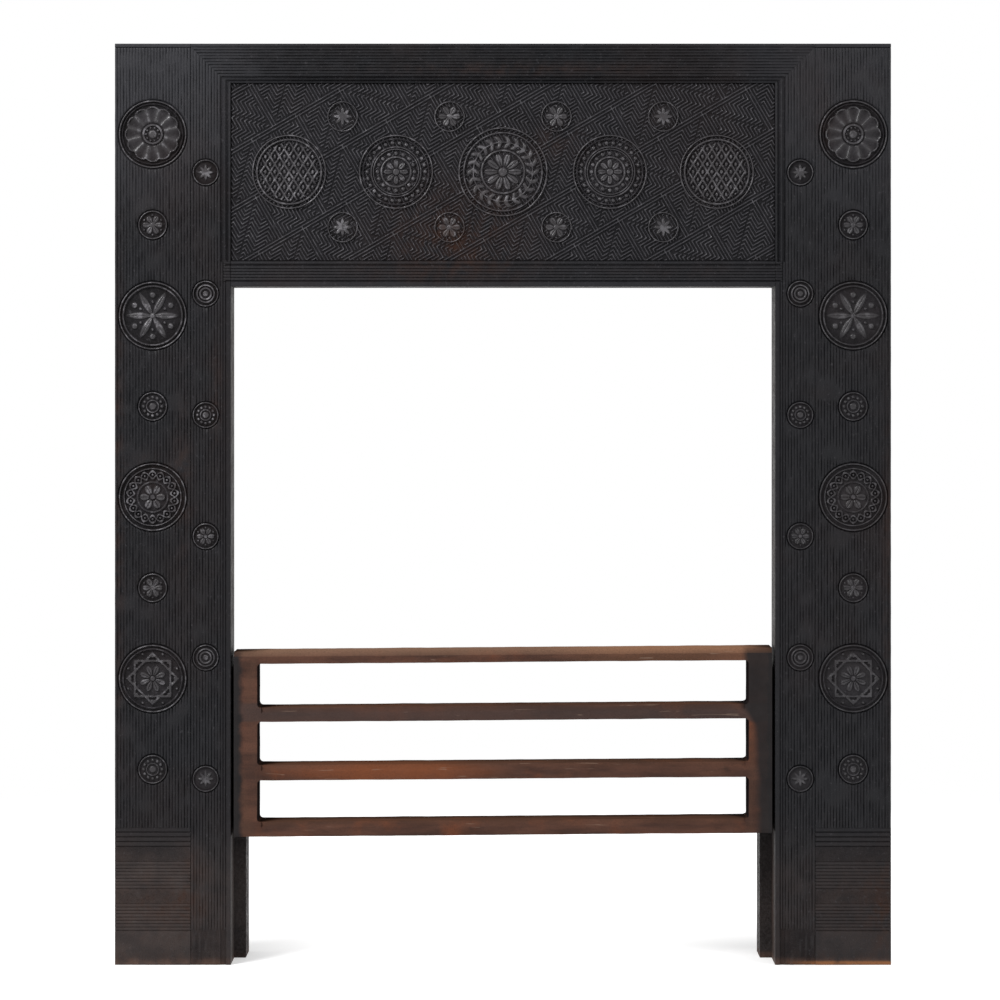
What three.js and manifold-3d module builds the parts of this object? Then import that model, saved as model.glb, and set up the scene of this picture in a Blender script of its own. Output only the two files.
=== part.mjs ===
// A cast iron fireplace front: two reeded pilasters bolted to a portal frame, which holds an
// ornamental frieze panel over a square fire opening and carries two rear legs. A loose grate
// front hangs on hooks in the legs and lifts off.
// Units are millimetres: +X to the right, +Y to the back, +Z up. Depths are measured back from
// the tops of the reeds on the face.
import * as THREE from "three";
import { mergeVertices } from "three/addons/utils/BufferGeometryUtils.js";
import Module from "manifold-3d";

const wasm = await Module();
wasm.setup();

// ---- Driving sizes: the whole front, from the fire opening outwards and upwards ----
const OPENING_WIDTH = 570;
const STILE_WIDTH = 42;
const PILASTER_WIDTH = 79.5;
const OPENING_HEIGHT = 710.5;
const LINTEL_HEIGHT = 27.2;
const FRIEZE_HEIGHT = 186;
const HEAD_RAIL_HEIGHT = 41.3;

// ---- Driving sizes: castings ----
const CASTING_WALL = 7;
const EDGE_FLANGE_DEPTH = 26; // from the face back to the wall of the chimney breast
const JOINT_RIB_DEPTH = 24;
const JOINT_RIB_END = 20; // from the foot and from the top flange to the ends of a joint rib
const RETURN_WALL = 6;
const RETURN_DEPTH = 45;
const RETURN_RIM_WIDTH = 18;
const SEAM_GAP = 0.3; // between castings that are bolted face to face

// ---- Driving sizes: face ornament ----
const REED_PITCH = 3.1;
const REED_RISE = 1.2;
const ROOT = 1; // how far ornament is sunk into the plate that it is cast with
const TOP_LIP = 3.7;
const STILE_REEDING = 31;
const STILE_PLINTH = 36;
const OPENING_FILLET = 5;
const FIELD_MOULDING = 5;
const FIELD_MOULDING_SET = 3; // from the frieze field to the moulding round it
const LINTEL_REEDING = 15.5;

// Bands of a pilaster's foot block, from the floor up.
const BASE_BAND = 36;
const FOOT_REEDING = 28;
const FOOT_PLAIN = 16;
const TORUS_SIDE = 5.5;
const TORUS_MIDDLE = 9;
const FINE_REED_PITCH = 3.5;

// Roundels.
const ROUNDEL_PROUD = 0.8; // in front of the reeds
const ROUNDEL_DISH = 0.7;
const ROUNDEL_RIM = 4;
const BOSS_SHARE = 0.25; // of a large roundel's radius, as the foot of its boss
const PILASTER_ROUNDEL = 35.5;
const PILASTER_ROUNDELS = 4;
const PILASTER_ROUNDEL_PITCH = 190;
const PILASTER_TOP_ROUNDEL = 95; // from the top edge down to the first centre
const PILASTER_SMALL_ROUNDEL = 15;
const STILE_ROUNDEL = 13.5;
const STILE_ROUNDELS = 6;
const STILE_ROUNDEL_PITCH = 127;
const STILE_TOP_ROUNDEL = 135;
const FRIEZE_CENTRE_ROUNDEL = 47;
const FRIEZE_ROUNDEL = 39;
const FRIEZE_ROUNDEL_PITCH = 112;
const FRIEZE_SMALL_ROUNDEL = 16;
const FRIEZE_SMALL_OFFSET = 58; // above and below the middle of the field

// ---- Driving sizes: frieze panel ----
const PANEL_WALL = 6;
const PANEL_BORDER = 14;
const FIELD_DEPTH = 2.4;
const FIELD_CLEARANCE = 0.5;

// ---- Driving sizes: legs ----
const LEG_WALL = 7;
const LEG_DEPTH = 40;
const LEG_PROUD = 12.5; // how far a leg stands into the opening
const LEG_HEIGHT = 310;

// ---- Driving sizes: grate front ----
const GRATE_SIDE_CLEARANCE = 3;
const GRATE_BOTTOM = 136.5;
const GRATE_BAR_HEIGHT = 12.5;
const GRATE_BAR_PITCH = 60.3;
const GRATE_BARS = 4;
const GRATE_UPRIGHT = 24.5;
const GRATE_SET_BACK = 1;
const GRATE_DEPTH = 42;
const GRATE_WINDOW_RADIUS = 4;
const BAR_BEVEL = 5;

// ---- Driving sizes: hooks ----
const HOOK_SEAT = 268; // height of the seat on the leg
const HOOK_WIDTH = 8;
const HOOK_ARM = 8;
const HOOK_LIP_DROP = 14;
const HOOK_LIP = 6;
const HOOK_CLEARANCE = 0.8;
const SEAT_WIDTH = 10;
const SEAT_DEPTH = 8;
const SEAT_HEIGHT = 14;
const SEAT_SET_BACK = 4; // from the leg's front face
const REST_GAP = 0.3;

// ---- Driving sizes: fasteners ----
const BOLT_RADIUS = 4;
const BOLT_HOLE_RADIUS = 4.5;
const HEAD_FLATS = 13;
const HEAD_HEIGHT = 5.5;
const NUT_HEIGHT = 6.5;
const BOLT_TAIL = 3; // bolt end beyond its nut
const FASTENER_GAP = 0.3;
const JOINT_BOLT_END = 120; // from the foot, and from the top, to the outer joint bolts
const JOINT_BOLTS = 3;
const LEG_BOLT_LOW = 75;
const LEG_BOLT_HIGH = 235;
const SCREW_RADIUS = 2.5;
const SCREW_HOLE_RADIUS = 2.8;
const SCREW_HEAD_RADIUS = 5;
const SCREW_HEAD_HEIGHT = 3.6;
const SCREW_SLOT = 1.4;
const SCREW_BITE = 4.6;
const SCREW_COLUMN = 250; // from the centre line to the outer screws
const WALL_LUG_WIDTH = 30;
const WALL_LUG_LENGTH = 30;
const WALL_LUG_HOLE_RADIUS = 5;
const WALL_LUG_LOW = 300;
const WALL_LUG_HIGH = 870;

// ---- Driving counts of facets ----
const ROUND_SIDES = 12;
const ROUNDEL_SIDES = 20;
const SMALL_ROUNDEL_SIDES = 12;
const FILLET_STEPS = 3;

// ---- Places worked out from the sizes ----
const OPENING_SIDE = OPENING_WIDTH / 2;
const SEAM = OPENING_SIDE + STILE_WIDTH; // from the centre line to the joint with a pilaster
const OUTER_EDGE = SEAM + PILASTER_WIDTH;
const PLATE_BACK = REED_RISE + CASTING_WALL;
const FRIEZE_BOTTOM = OPENING_HEIGHT + LINTEL_HEIGHT;
const FRIEZE_TOP = FRIEZE_BOTTOM + FRIEZE_HEIGHT;
const OVERALL_HEIGHT = FRIEZE_TOP + HEAD_RAIL_HEIGHT;
const FOOT_TOP = BASE_BAND + 2 * FOOT_REEDING + 2 * FOOT_PLAIN + 2 * TORUS_SIDE + TORUS_MIDDLE;
const LEG_FRONT = RETURN_DEPTH + SEAM_GAP;
const LEG_BACK = LEG_FRONT + LEG_DEPTH;
const LEG_INSIDE = OPENING_SIDE - LEG_PROUD;
const RIM_OUTSIDE = OPENING_SIDE + RETURN_WALL + RETURN_RIM_WIDTH;
const PANEL_FRONT = PLATE_BACK + SEAM_GAP;
const PANEL_BACK = PANEL_FRONT + PANEL_WALL;
const GRATE_SIDE = OPENING_SIDE - GRATE_SIDE_CLEARANCE;
const GRATE_BACK = GRATE_SET_BACK + GRATE_DEPTH;
const OVERALL_DEPTH = ROUNDEL_PROUD + LEG_BACK;
const FRIEZE_MIDDLE = FRIEZE_BOTTOM + FRIEZE_HEIGHT / 2;
const SCREW_ROWS = [FRIEZE_BOTTOM - PANEL_BORDER / 2, FRIEZE_TOP + PANEL_BORDER / 2];
const EPS = 0.01;

// ---- Solids ----
const X = new THREE.Vector3(1, 0, 0);
const Y = new THREE.Vector3(0, 1, 0);
const Z = new THREE.Vector3(0, 0, 1);

// A closed three.js geometry as a solid that can be joined and cut.
function solid(geometry) {
  const bare = geometry.clone();
  bare.deleteAttribute("normal");
  bare.deleteAttribute("uv");
  const merged = mergeVertices(bare, 1e-4);
  return new wasm.Manifold(
    new wasm.Mesh({
      numProp: 3,
      vertProperties: merged.attributes.position.array,
      triVerts: new Uint32Array(merged.index.array),
    }),
  );
}

function geometryOf(made) {
  const mesh = made.getMesh();
  const corners = new Float32Array(mesh.numVert * 3);
  for (let i = 0; i < mesh.numVert; i++) {
    const start = i * mesh.numProp;
    corners.set(mesh.vertProperties.subarray(start, start + 3), i * 3);
  }
  const geometry = new THREE.BufferGeometry();
  geometry.setAttribute("position", new THREE.BufferAttribute(corners, 3));
  geometry.setIndex(new THREE.BufferAttribute(new Uint32Array(mesh.triVerts), 1));
  const flat = geometry.toNonIndexed();
  flat.computeVertexNormals();
  return flat;
}

const join = (parts) => parts.reduce((whole, part) => whole.add(part));
const cut = (whole, parts) => parts.reduce((left, part) => left.subtract(part), whole);

// Two limits in rising order, each moved outwards by a margin.
const span = (a, b, margin = 0) => [Math.min(a, b) - margin, Math.max(a, b) + margin];

// A box from its limits along each axis, given in any order.
function block([xa, xb], [ya, yb], [za, zb]) {
  const box = new THREE.BoxGeometry(Math.abs(xb - xa), Math.abs(yb - ya), Math.abs(zb - za));
  return solid(box.translate((xa + xb) / 2, (ya + yb) / 2, (za + zb) / 2));
}

function outline(points) {
  return new THREE.Shape(points.map(([u, v]) => new THREE.Vector2(u, v)));
}

// A section drawn in X and Y, run up from one height to another.
function upright(section, low, high) {
  const run = new THREE.ExtrudeGeometry(section, { depth: high - low, bevelEnabled: false });
  return solid(run.translate(0, 0, low));
}

// A section drawn in Y and Z, run across from one X to another.
function across(section, from, to) {
  const run = new THREE.ExtrudeGeometry(section, { depth: to - from, bevelEnabled: false });
  run.applyMatrix4(new THREE.Matrix4().makeBasis(Y, Z, X));
  return solid(run.translate(from, 0, 0));
}

// A face drawn in X and Z, run back from one depth to another.
function facing(face, front, back, steps = FILLET_STEPS) {
  const run = new THREE.ExtrudeGeometry(face, {
    depth: back - front,
    bevelEnabled: false,
    curveSegments: steps,
  });
  run.applyMatrix4(new THREE.Matrix4().makeBasis(X, Z, Y.clone().negate()));
  return solid(run.translate(0, back, 0));
}

// A round bar along one axis, from its centre and its limits on that axis.
function bar(axis, centre, from, to, radius, sides = ROUND_SIDES) {
  const round = new THREE.CylinderGeometry(radius, radius, to - from, sides);
  if (axis === X) round.rotateZ(-Math.PI / 2);
  if (axis === Z) round.rotateX(Math.PI / 2);
  const middle = axis.clone().multiplyScalar((from + to) / 2).add(centre);
  return solid(round.translate(middle.x, middle.y, middle.z));
}

// ---- Face ornament ----

// The section of a row of reeds: its crests lie at depth 0 and its roots in the plate.
function reedPoints(from, to, pitch) {
  const count = Math.max(1, Math.floor(Math.abs(to - from) / pitch + EPS));
  const step = (to - from) / count;
  const points = [[from, REED_RISE + ROOT]];
  for (let i = 0; i < count; i++) {
    const start = from + i * step;
    points.push([start, REED_RISE], [start + step / 2, 0]);
  }
  points.push([to, REED_RISE], [to, REED_RISE + ROOT]);
  return points;
}

function uprightReeds(from, to, low, high, pitch = REED_PITCH) {
  return upright(outline(reedPoints(from, to, pitch)), low, high);
}

function acrossReeds(low, high, from, to, pitch = REED_PITCH) {
  const section = outline(reedPoints(low, high, pitch).map(([z, depth]) => [depth, z]));
  return across(section, from, to);
}

// A raised disc; a large one is dished inside a plain rim round a low boss.
function roundel(x, z, radius, front, back, sides) {
  const profile = [[0, back], [radius, back], [radius, front]];
  if (sides === ROUNDEL_SIDES) {
    const dish = front + ROUNDEL_DISH;
    profile.push([radius - ROUNDEL_RIM, dish], [radius * BOSS_SHARE, dish]);
  }
  profile.push([0, front]);
  const turned = new THREE.LatheGeometry(
    profile.map(([r, depth]) => new THREE.Vector2(r, -depth)),
    sides,
  );
  turned.rotateX(Math.PI);
  return solid(turned.translate(x, 0, z));
}

const faceRoundel = (x, z, radius, sides = SMALL_ROUNDEL_SIDES) =>
  roundel(x, z, radius, -ROUNDEL_PROUD, REED_RISE + ROOT, sides);

// ---- Pilasters ----
const jointBoltHeights = Array.from(
  { length: JOINT_BOLTS },
  (_, i) => JOINT_BOLT_END + (i * (OVERALL_HEIGHT - 2 * JOINT_BOLT_END)) / (JOINT_BOLTS - 1),
);
const ribMiddle = (PLATE_BACK + JOINT_RIB_DEPTH) / 2;
const ribHeights = [JOINT_RIB_END, OVERALL_HEIGHT - JOINT_RIB_END];

function jointBoltHoles(from, to) {
  return jointBoltHeights.map((z) =>
    bar(X, new THREE.Vector3(0, ribMiddle, z), from, to, BOLT_HOLE_RADIUS),
  );
}

// The ornament of a foot block: two bands of fine reeds and a torus moulding over them.
function footOrnament(inside, outside) {
  const [from, to] = span(inside, outside);
  const lowBand = BASE_BAND;
  const highBand = lowBand + FOOT_REEDING + FOOT_PLAIN;
  const torus = highBand + FOOT_REEDING + FOOT_PLAIN;
  const torusBands = [TORUS_SIDE, TORUS_MIDDLE, TORUS_SIDE];
  const parts = [lowBand, highBand].map((z) =>
    acrossReeds(z, z + FOOT_REEDING, from, to, FINE_REED_PITCH),
  );
  let low = torus;
  for (const band of torusBands) {
    parts.push(acrossReeds(low, low + band, from, to, band));
    low += band;
  }
  return parts;
}

function pilaster(side) {
  const inside = side * (SEAM + SEAM_GAP / 2);
  const outside = side * OUTER_EDGE;
  const rib = inside + side * CASTING_WALL;
  const flange = outside - side * CASTING_WALL;
  const topFlange = OVERALL_HEIGHT - CASTING_WALL;
  const middle = (inside + outside) / 2;
  const parts = [
    block([inside, outside], [REED_RISE, PLATE_BACK], [0, OVERALL_HEIGHT]),
    block([inside, outside], [0, PLATE_BACK], [OVERALL_HEIGHT - TOP_LIP, OVERALL_HEIGHT]),
    block([inside, outside], [0, PLATE_BACK], [0, BASE_BAND - SEAM_GAP]),
    block([outside, flange], [REED_RISE, EDGE_FLANGE_DEPTH], [0, OVERALL_HEIGHT]),
    block([inside, outside], [REED_RISE, EDGE_FLANGE_DEPTH], [topFlange, OVERALL_HEIGHT]),
    block([inside, rib], [REED_RISE, JOINT_RIB_DEPTH], ribHeights),
    uprightReeds(...span(inside, outside), FOOT_TOP, OVERALL_HEIGHT - TOP_LIP),
    ...footOrnament(inside, outside),
  ];
  for (let i = 0; i < PILASTER_ROUNDELS; i++) {
    const z = OVERALL_HEIGHT - PILASTER_TOP_ROUNDEL - i * PILASTER_ROUNDEL_PITCH;
    parts.push(faceRoundel(middle, z, PILASTER_ROUNDEL, ROUNDEL_SIDES));
    parts.push(faceRoundel(middle, z - PILASTER_ROUNDEL_PITCH / 2, PILASTER_SMALL_ROUNDEL));
  }
  const holes = jointBoltHoles(...span(inside, rib, 1));
  for (const z of [WALL_LUG_LOW, WALL_LUG_HIGH]) {
    const tip = flange - side * WALL_LUG_LENGTH;
    const lugFront = EDGE_FLANGE_DEPTH - CASTING_WALL;
    const heights = [z - WALL_LUG_WIDTH / 2, z + WALL_LUG_WIDTH / 2];
    parts.push(block([tip, flange + side], [lugFront, EDGE_FLANGE_DEPTH], heights));
    const hole = new THREE.Vector3((tip + flange) / 2, 0, z);
    holes.push(bar(Y, hole, lugFront - 1, EDGE_FLANGE_DEPTH + 1, WALL_LUG_HOLE_RADIUS));
  }
  return cut(join(parts), holes);
}

// ---- Portal frame ----

// Reeds up a stile, over the head and down the other stile, mitred at the corners.
function mitredReeding() {
  const outside = SEAM - SEAM_GAP / 2;
  const inside = outside - STILE_REEDING;
  const top = OVERALL_HEIGHT - TOP_LIP;
  const low = top - STILE_REEDING;
  const deep = [-1, REED_RISE + ROOT + 1];
  const head = acrossReeds(low, top, -outside, outside);
  const keep = facing(
    outline([[-outside, top], [outside, top], [inside, low], [-inside, low]]),
    ...deep,
  );
  const parts = [head.intersect(keep)];
  for (const side of [-1, 1]) {
    const corner = [[side * inside, STILE_PLINTH], [side * outside, STILE_PLINTH]];
    const mitre = outline([...corner, [side * outside, top], [side * inside, low]]);
    const stile = uprightReeds(...span(side * inside, side * outside), STILE_PLINTH, top);
    parts.push(stile.intersect(facing(mitre, ...deep)));
  }
  return parts;
}

function legBoltHoles(side, from, to) {
  const x = side * (OPENING_SIDE + RETURN_WALL + RETURN_RIM_WIDTH / 2);
  return [LEG_BOLT_LOW, LEG_BOLT_HIGH].map((z) =>
    bar(Y, new THREE.Vector3(x, 0, z), from, to, BOLT_HOLE_RADIUS),
  );
}

function screwPlaces() {
  return SCREW_ROWS.flatMap((z) => [-SCREW_COLUMN, 0, SCREW_COLUMN].map((x) => [x, z]));
}

function portalFrame() {
  const half = SEAM - SEAM_GAP / 2;
  const raised = [0, REED_RISE + ROOT];
  const returnTop = OPENING_HEIGHT + RETURN_WALL;
  const returnSide = OPENING_SIDE + RETURN_WALL;
  const filletSide = OPENING_SIDE + OPENING_FILLET;
  const mouldingSide = OPENING_SIDE + FIELD_MOULDING_SET + FIELD_MOULDING;
  const mouldingTop = FRIEZE_TOP + FIELD_MOULDING_SET + FIELD_MOULDING;
  const topFlange = [OVERALL_HEIGHT - CASTING_WALL, OVERALL_HEIGHT];
  const parts = [
    block([-half, half], [REED_RISE, PLATE_BACK], [0, OVERALL_HEIGHT]),
    block([-half, half], [0, PLATE_BACK], [OVERALL_HEIGHT - TOP_LIP, OVERALL_HEIGHT]),
    block([-half, half], [REED_RISE, EDGE_FLANGE_DEPTH], topFlange),
    block([-returnSide, returnSide], [REED_RISE, RETURN_DEPTH], [0, returnTop]),
    block([-filletSide, filletSide], raised, [0, OPENING_HEIGHT + OPENING_FILLET]),
    block([-mouldingSide, mouldingSide], raised, [FRIEZE_BOTTOM, mouldingTop]),
    ...mitredReeding(),
  ];
  const through = [-1, RETURN_DEPTH + 1];
  const holes = [
    block([-OPENING_SIDE, OPENING_SIDE], through, [-1, OPENING_HEIGHT]),
    block([-OPENING_SIDE, OPENING_SIDE], through, [FRIEZE_BOTTOM, FRIEZE_TOP]),
  ];
  for (const side of [-1, 1]) {
    const ribEdges = [side * half, side * (half - CASTING_WALL)];
    const rim = [side * OPENING_SIDE, side * RIM_OUTSIDE];
    parts.push(block(ribEdges, [REED_RISE, JOINT_RIB_DEPTH], ribHeights));
    parts.push(block(rim, [RETURN_DEPTH - RETURN_WALL, RETURN_DEPTH], [0, LEG_HEIGHT]));
    for (let i = 0; i < STILE_ROUNDELS; i++) {
      const z = OVERALL_HEIGHT - STILE_TOP_ROUNDEL - i * STILE_ROUNDEL_PITCH;
      parts.push(faceRoundel(side * (half - STILE_REEDING / 2), z, STILE_ROUNDEL));
    }
    holes.push(...jointBoltHoles(...span(...ribEdges, 1)));
    holes.push(...legBoltHoles(side, RETURN_DEPTH - RETURN_WALL - 1, RETURN_DEPTH + 1));
  }
  const biteEnd = PLATE_BACK - SCREW_BITE - SEAM_GAP;
  for (const [x, z] of screwPlaces())
    holes.push(bar(Y, new THREE.Vector3(x, 0, z), biteEnd, PLATE_BACK + 1, SCREW_HOLE_RADIUS));
  const reedsLow = OPENING_HEIGHT + OPENING_FILLET + REED_RISE;
  const lintelReeds = acrossReeds(reedsLow, reedsLow + LINTEL_REEDING, -OPENING_SIDE, OPENING_SIDE);
  return cut(join(parts), holes).add(lintelReeds);
}

// ---- Frieze panel ----
function friezePanel() {
  const fieldSide = OPENING_SIDE - FIELD_CLEARANCE;
  const field = [FRIEZE_BOTTOM + FIELD_CLEARANCE, FRIEZE_TOP - FIELD_CLEARANCE];
  const borderSide = OPENING_SIDE + PANEL_BORDER;
  const border = [FRIEZE_BOTTOM - PANEL_BORDER, FRIEZE_TOP + PANEL_BORDER];
  const front = FIELD_DEPTH - ROUNDEL_PROUD - REED_RISE;
  const parts = [
    block([-borderSide, borderSide], [PANEL_FRONT, PANEL_BACK], border),
    block([-fieldSide, fieldSide], [FIELD_DEPTH, PANEL_FRONT + ROOT], field),
    roundel(0, FRIEZE_MIDDLE, FRIEZE_CENTRE_ROUNDEL, front, FIELD_DEPTH + ROOT, ROUNDEL_SIDES),
  ];
  for (const side of [-1, 1])
    for (const place of [1, 2]) {
      const x = side * place * FRIEZE_ROUNDEL_PITCH;
      const between = x - (side * FRIEZE_ROUNDEL_PITCH) / 2;
      parts.push(roundel(x, FRIEZE_MIDDLE, FRIEZE_ROUNDEL, front, FIELD_DEPTH + ROOT, ROUNDEL_SIDES));
      for (const rise of [-FRIEZE_SMALL_OFFSET, FRIEZE_SMALL_OFFSET])
        parts.push(roundel(between, FRIEZE_MIDDLE + rise, FRIEZE_SMALL_ROUNDEL, front,
          FIELD_DEPTH + ROOT, SMALL_ROUNDEL_SIDES));
    }
  const holes = screwPlaces().map(([x, z]) =>
    bar(Y, new THREE.Vector3(x, 0, z), PANEL_FRONT - 1, PANEL_BACK + 1, SCREW_HOLE_RADIUS),
  );
  return cut(join(parts), holes);
}

// ---- Legs ----
const SEAT_FRONT = LEG_FRONT + SEAT_SET_BACK;
const SEAT_BACK = SEAT_FRONT + SEAT_DEPTH;

function grateLeg(side) {
  const inside = side * LEG_INSIDE;
  const parts = [
    block([inside, side * RIM_OUTSIDE], [LEG_FRONT, LEG_FRONT + LEG_WALL], [0, LEG_HEIGHT]),
    block([inside, inside + side * LEG_WALL], [LEG_FRONT, LEG_BACK], [0, LEG_HEIGHT]),
    block([inside - side * SEAT_WIDTH, inside + side], [SEAT_FRONT, SEAT_BACK],
      [HOOK_SEAT - SEAT_HEIGHT, HOOK_SEAT]),
  ];
  return cut(join(parts), legBoltHoles(side, LEG_FRONT - 1, LEG_FRONT + LEG_WALL + 1));
}

// ---- Grate front ----
const barBottoms = Array.from({ length: GRATE_BARS }, (_, i) => GRATE_BOTTOM + i * GRATE_BAR_PITCH);
const GRATE_TOP = barBottoms[GRATE_BARS - 1] + GRATE_BAR_HEIGHT;

// A window between two bars, with rounded corners.
function windowFace(low, high) {
  const side = GRATE_SIDE - GRATE_UPRIGHT;
  const r = Math.min(GRATE_WINDOW_RADIUS, (high - low) / 2 - EPS);
  const face = new THREE.Shape();
  face.moveTo(-side + r, low);
  face.lineTo(side - r, low);
  face.absarc(side - r, low + r, r, -Math.PI / 2, 0);
  face.lineTo(side, high - r);
  face.absarc(side - r, high - r, r, 0, Math.PI / 2);
  face.lineTo(-side + r, high);
  face.absarc(-side + r, high - r, r, Math.PI / 2, Math.PI);
  face.lineTo(-side, low + r);
  face.absarc(-side + r, low + r, r, Math.PI, 1.5 * Math.PI);
  return face;
}

function grateFront() {
  const frontLimits = [GRATE_SET_BACK, GRATE_BACK];
  const body = block([-GRATE_SIDE, GRATE_SIDE], frontLimits, [GRATE_BOTTOM, GRATE_TOP]);
  const cuts = [];
  barBottoms.forEach((bottom, i) => {
    const top = bottom + GRATE_BAR_HEIGHT;
    const last = i === GRATE_BARS - 1;
    const side = last ? GRATE_SIDE + 1 : GRATE_SIDE - GRATE_UPRIGHT - GRATE_WINDOW_RADIUS;
    const bevel = outline([
      [GRATE_SET_BACK - 1, top - BAR_BEVEL - 1],
      [GRATE_SET_BACK + BAR_BEVEL + 1, top + 1],
      [GRATE_SET_BACK - 1, top + 1],
    ]);
    cuts.push(across(bevel, -side, side));
    if (!last) cuts.push(facing(windowFace(top, barBottoms[i + 1]), GRATE_SET_BACK - 1, GRATE_BACK + 1));
  });
  const hooks = [-1, 1].flatMap((side) => {
    const outer = side * (LEG_INSIDE - HOOK_CLEARANCE);
    const reach = SEAT_BACK + HOOK_CLEARANCE + HOOK_LIP;
    const width = [outer, outer - side * HOOK_WIDTH];
    const armLow = HOOK_SEAT + REST_GAP;
    return [
      block(width, [GRATE_BACK - ROOT, reach], [armLow, armLow + HOOK_ARM]),
      block(width, [reach - HOOK_LIP, reach], [HOOK_SEAT - HOOK_LIP_DROP, armLow + HOOK_ARM]),
    ];
  });
  return join([cut(body, cuts), ...hooks]);
}

// ---- Fasteners, each drawn along +Z with its bearing face at 0 ----
function squareBolt(grip) {
  const half = HEAD_FLATS / 2;
  const length = grip + 2 * FASTENER_GAP + NUT_HEIGHT + BOLT_TAIL;
  const head = block([-half, half], [-half, half], [-HEAD_HEIGHT, 0]);
  return head.add(bar(Z, new THREE.Vector3(), -ROOT, length, BOLT_RADIUS));
}

function squareNut() {
  const half = HEAD_FLATS / 2;
  const body = block([-half, half], [-half, half], [0, NUT_HEIGHT]);
  return body.subtract(bar(Z, new THREE.Vector3(), -1, NUT_HEIGHT + 1, BOLT_RADIUS + FASTENER_GAP));
}

function slottedScrew() {
  const length = PANEL_WALL + SEAM_GAP + FASTENER_GAP + SCREW_BITE;
  const head = bar(Z, new THREE.Vector3(), -SCREW_HEAD_HEIGHT, 0, SCREW_HEAD_RADIUS);
  const slot = block([-SCREW_HEAD_RADIUS - 1, SCREW_HEAD_RADIUS + 1], [-SCREW_SLOT / 2, SCREW_SLOT / 2],
    [-SCREW_HEAD_HEIGHT - 1, -SCREW_HEAD_HEIGHT / 2]);
  return head.add(bar(Z, new THREE.Vector3(), -ROOT, length, SCREW_RADIUS)).subtract(slot);
}

// ---- Materials ----
const iron = (color, roughness) => new THREE.MeshStandardMaterial({ color, roughness, metalness: 0.6 });
const blackIron = () => iron(0x2d2b2c, 0.55);
const rustIron = () => iron(0x5c3c30, 0.8);
const steel = () => iron(0x3a332f, 0.6);

// ---- Assembly ----
const fireplace = new THREE.Group();
fireplace.position.y = ROUNDEL_PROUD - OVERALL_DEPTH / 2;

function place(name, made, material, parent = fireplace) {
  const mesh = new THREE.Mesh(geometryOf(made), material);
  mesh.name = name;
  parent.add(mesh);
  return mesh;
}

// A bolt along one axis with its head's bearing face at a point, and its nut over the grip.
function boltPair(name, at, direction, grip) {
  const pair = new THREE.Group();
  pair.position.copy(at);
  pair.quaternion.setFromUnitVectors(Z, direction);
  place(name + "_bolt", squareBolt(grip), steel(), pair).position.z = -FASTENER_GAP;
  place(name + "_nut", squareNut(), steel(), pair).position.z = grip + FASTENER_GAP;
  fireplace.add(pair);
}

const SIDES = [["left", -1], ["right", 1]];
for (const [side, sign] of SIDES) {
  place(side + "_pilaster", pilaster(sign), blackIron());
  place(side + "_grate_leg", grateLeg(sign), blackIron());
}
place("portal_frame", portalFrame(), blackIron());
place("frieze_panel", friezePanel(), blackIron());
place("grate_front", grateFront(), rustIron());

for (const [side, sign] of SIDES) {
  const jointGrip = 2 * CASTING_WALL + SEAM_GAP;
  const headFace = sign * (SEAM - SEAM_GAP / 2 - CASTING_WALL);
  const outward = X.clone().multiplyScalar(sign);
  ["low", "middle", "high"].forEach((level, i) => {
    const at = new THREE.Vector3(headFace, ribMiddle, jointBoltHeights[i]);
    boltPair(`${side}_seam_${level}`, at, outward, jointGrip);
  });
  const legGrip = RETURN_WALL + SEAM_GAP + LEG_WALL;
  const x = sign * (OPENING_SIDE + RETURN_WALL + RETURN_RIM_WIDTH / 2);
  [["low", LEG_BOLT_LOW], ["high", LEG_BOLT_HIGH]].forEach(([level, z]) => {
    const at = new THREE.Vector3(x, RETURN_DEPTH - RETURN_WALL, z);
    boltPair(`${side}_leg_${level}`, at, Y, legGrip);
  });
}

screwPlaces().forEach(([x, z], i) => {
  const screw = place(`frieze_screw_${i + 1}`, slottedScrew(), steel());
  screw.position.set(x, PANEL_BACK + FASTENER_GAP, z);
  screw.quaternion.setFromUnitVectors(Z, Y.clone().negate());
});

const root = new THREE.Group();
root.add(fireplace);

export default root;
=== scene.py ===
import math
from collections import namedtuple
from math import pi, radians

import bmesh
import bpy
import numpy as np
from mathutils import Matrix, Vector


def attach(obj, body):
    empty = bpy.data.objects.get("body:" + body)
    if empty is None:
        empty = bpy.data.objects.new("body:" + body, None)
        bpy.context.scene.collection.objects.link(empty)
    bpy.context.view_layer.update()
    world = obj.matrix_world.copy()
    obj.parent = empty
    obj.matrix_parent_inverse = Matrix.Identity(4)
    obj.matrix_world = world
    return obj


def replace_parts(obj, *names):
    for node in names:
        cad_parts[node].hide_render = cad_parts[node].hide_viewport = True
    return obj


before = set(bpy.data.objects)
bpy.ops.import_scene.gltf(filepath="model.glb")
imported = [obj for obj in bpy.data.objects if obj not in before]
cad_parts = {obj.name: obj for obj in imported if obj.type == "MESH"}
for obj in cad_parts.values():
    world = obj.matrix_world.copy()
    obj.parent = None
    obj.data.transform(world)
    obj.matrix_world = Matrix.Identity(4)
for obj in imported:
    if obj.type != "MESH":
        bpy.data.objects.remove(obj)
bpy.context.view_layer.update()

# Lengths of the iron are millimetres, and depths are measured back from the tops of the reeds:
# `place` turns both into metres of the shared frame. Materials, camera, floor and lights use metres.
FACE_Y = -42.25  # the tops of the reeds, from the origin
OPENING = 285.0  # the side of the fire opening, from the centre line
OPENING_TOP = 710.5
FILLET = 5.0  # the plain strip round the opening
SEAM = 327.0  # the joint of the frame with a pilaster, from the centre line
SEAM_HALF = 0.15  # half of the gap in that joint
OUTER = 406.5  # the outer edge, from the centre line
TOP = 965.0
LIP = 961.3  # where the plain lip along the top begins
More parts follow.
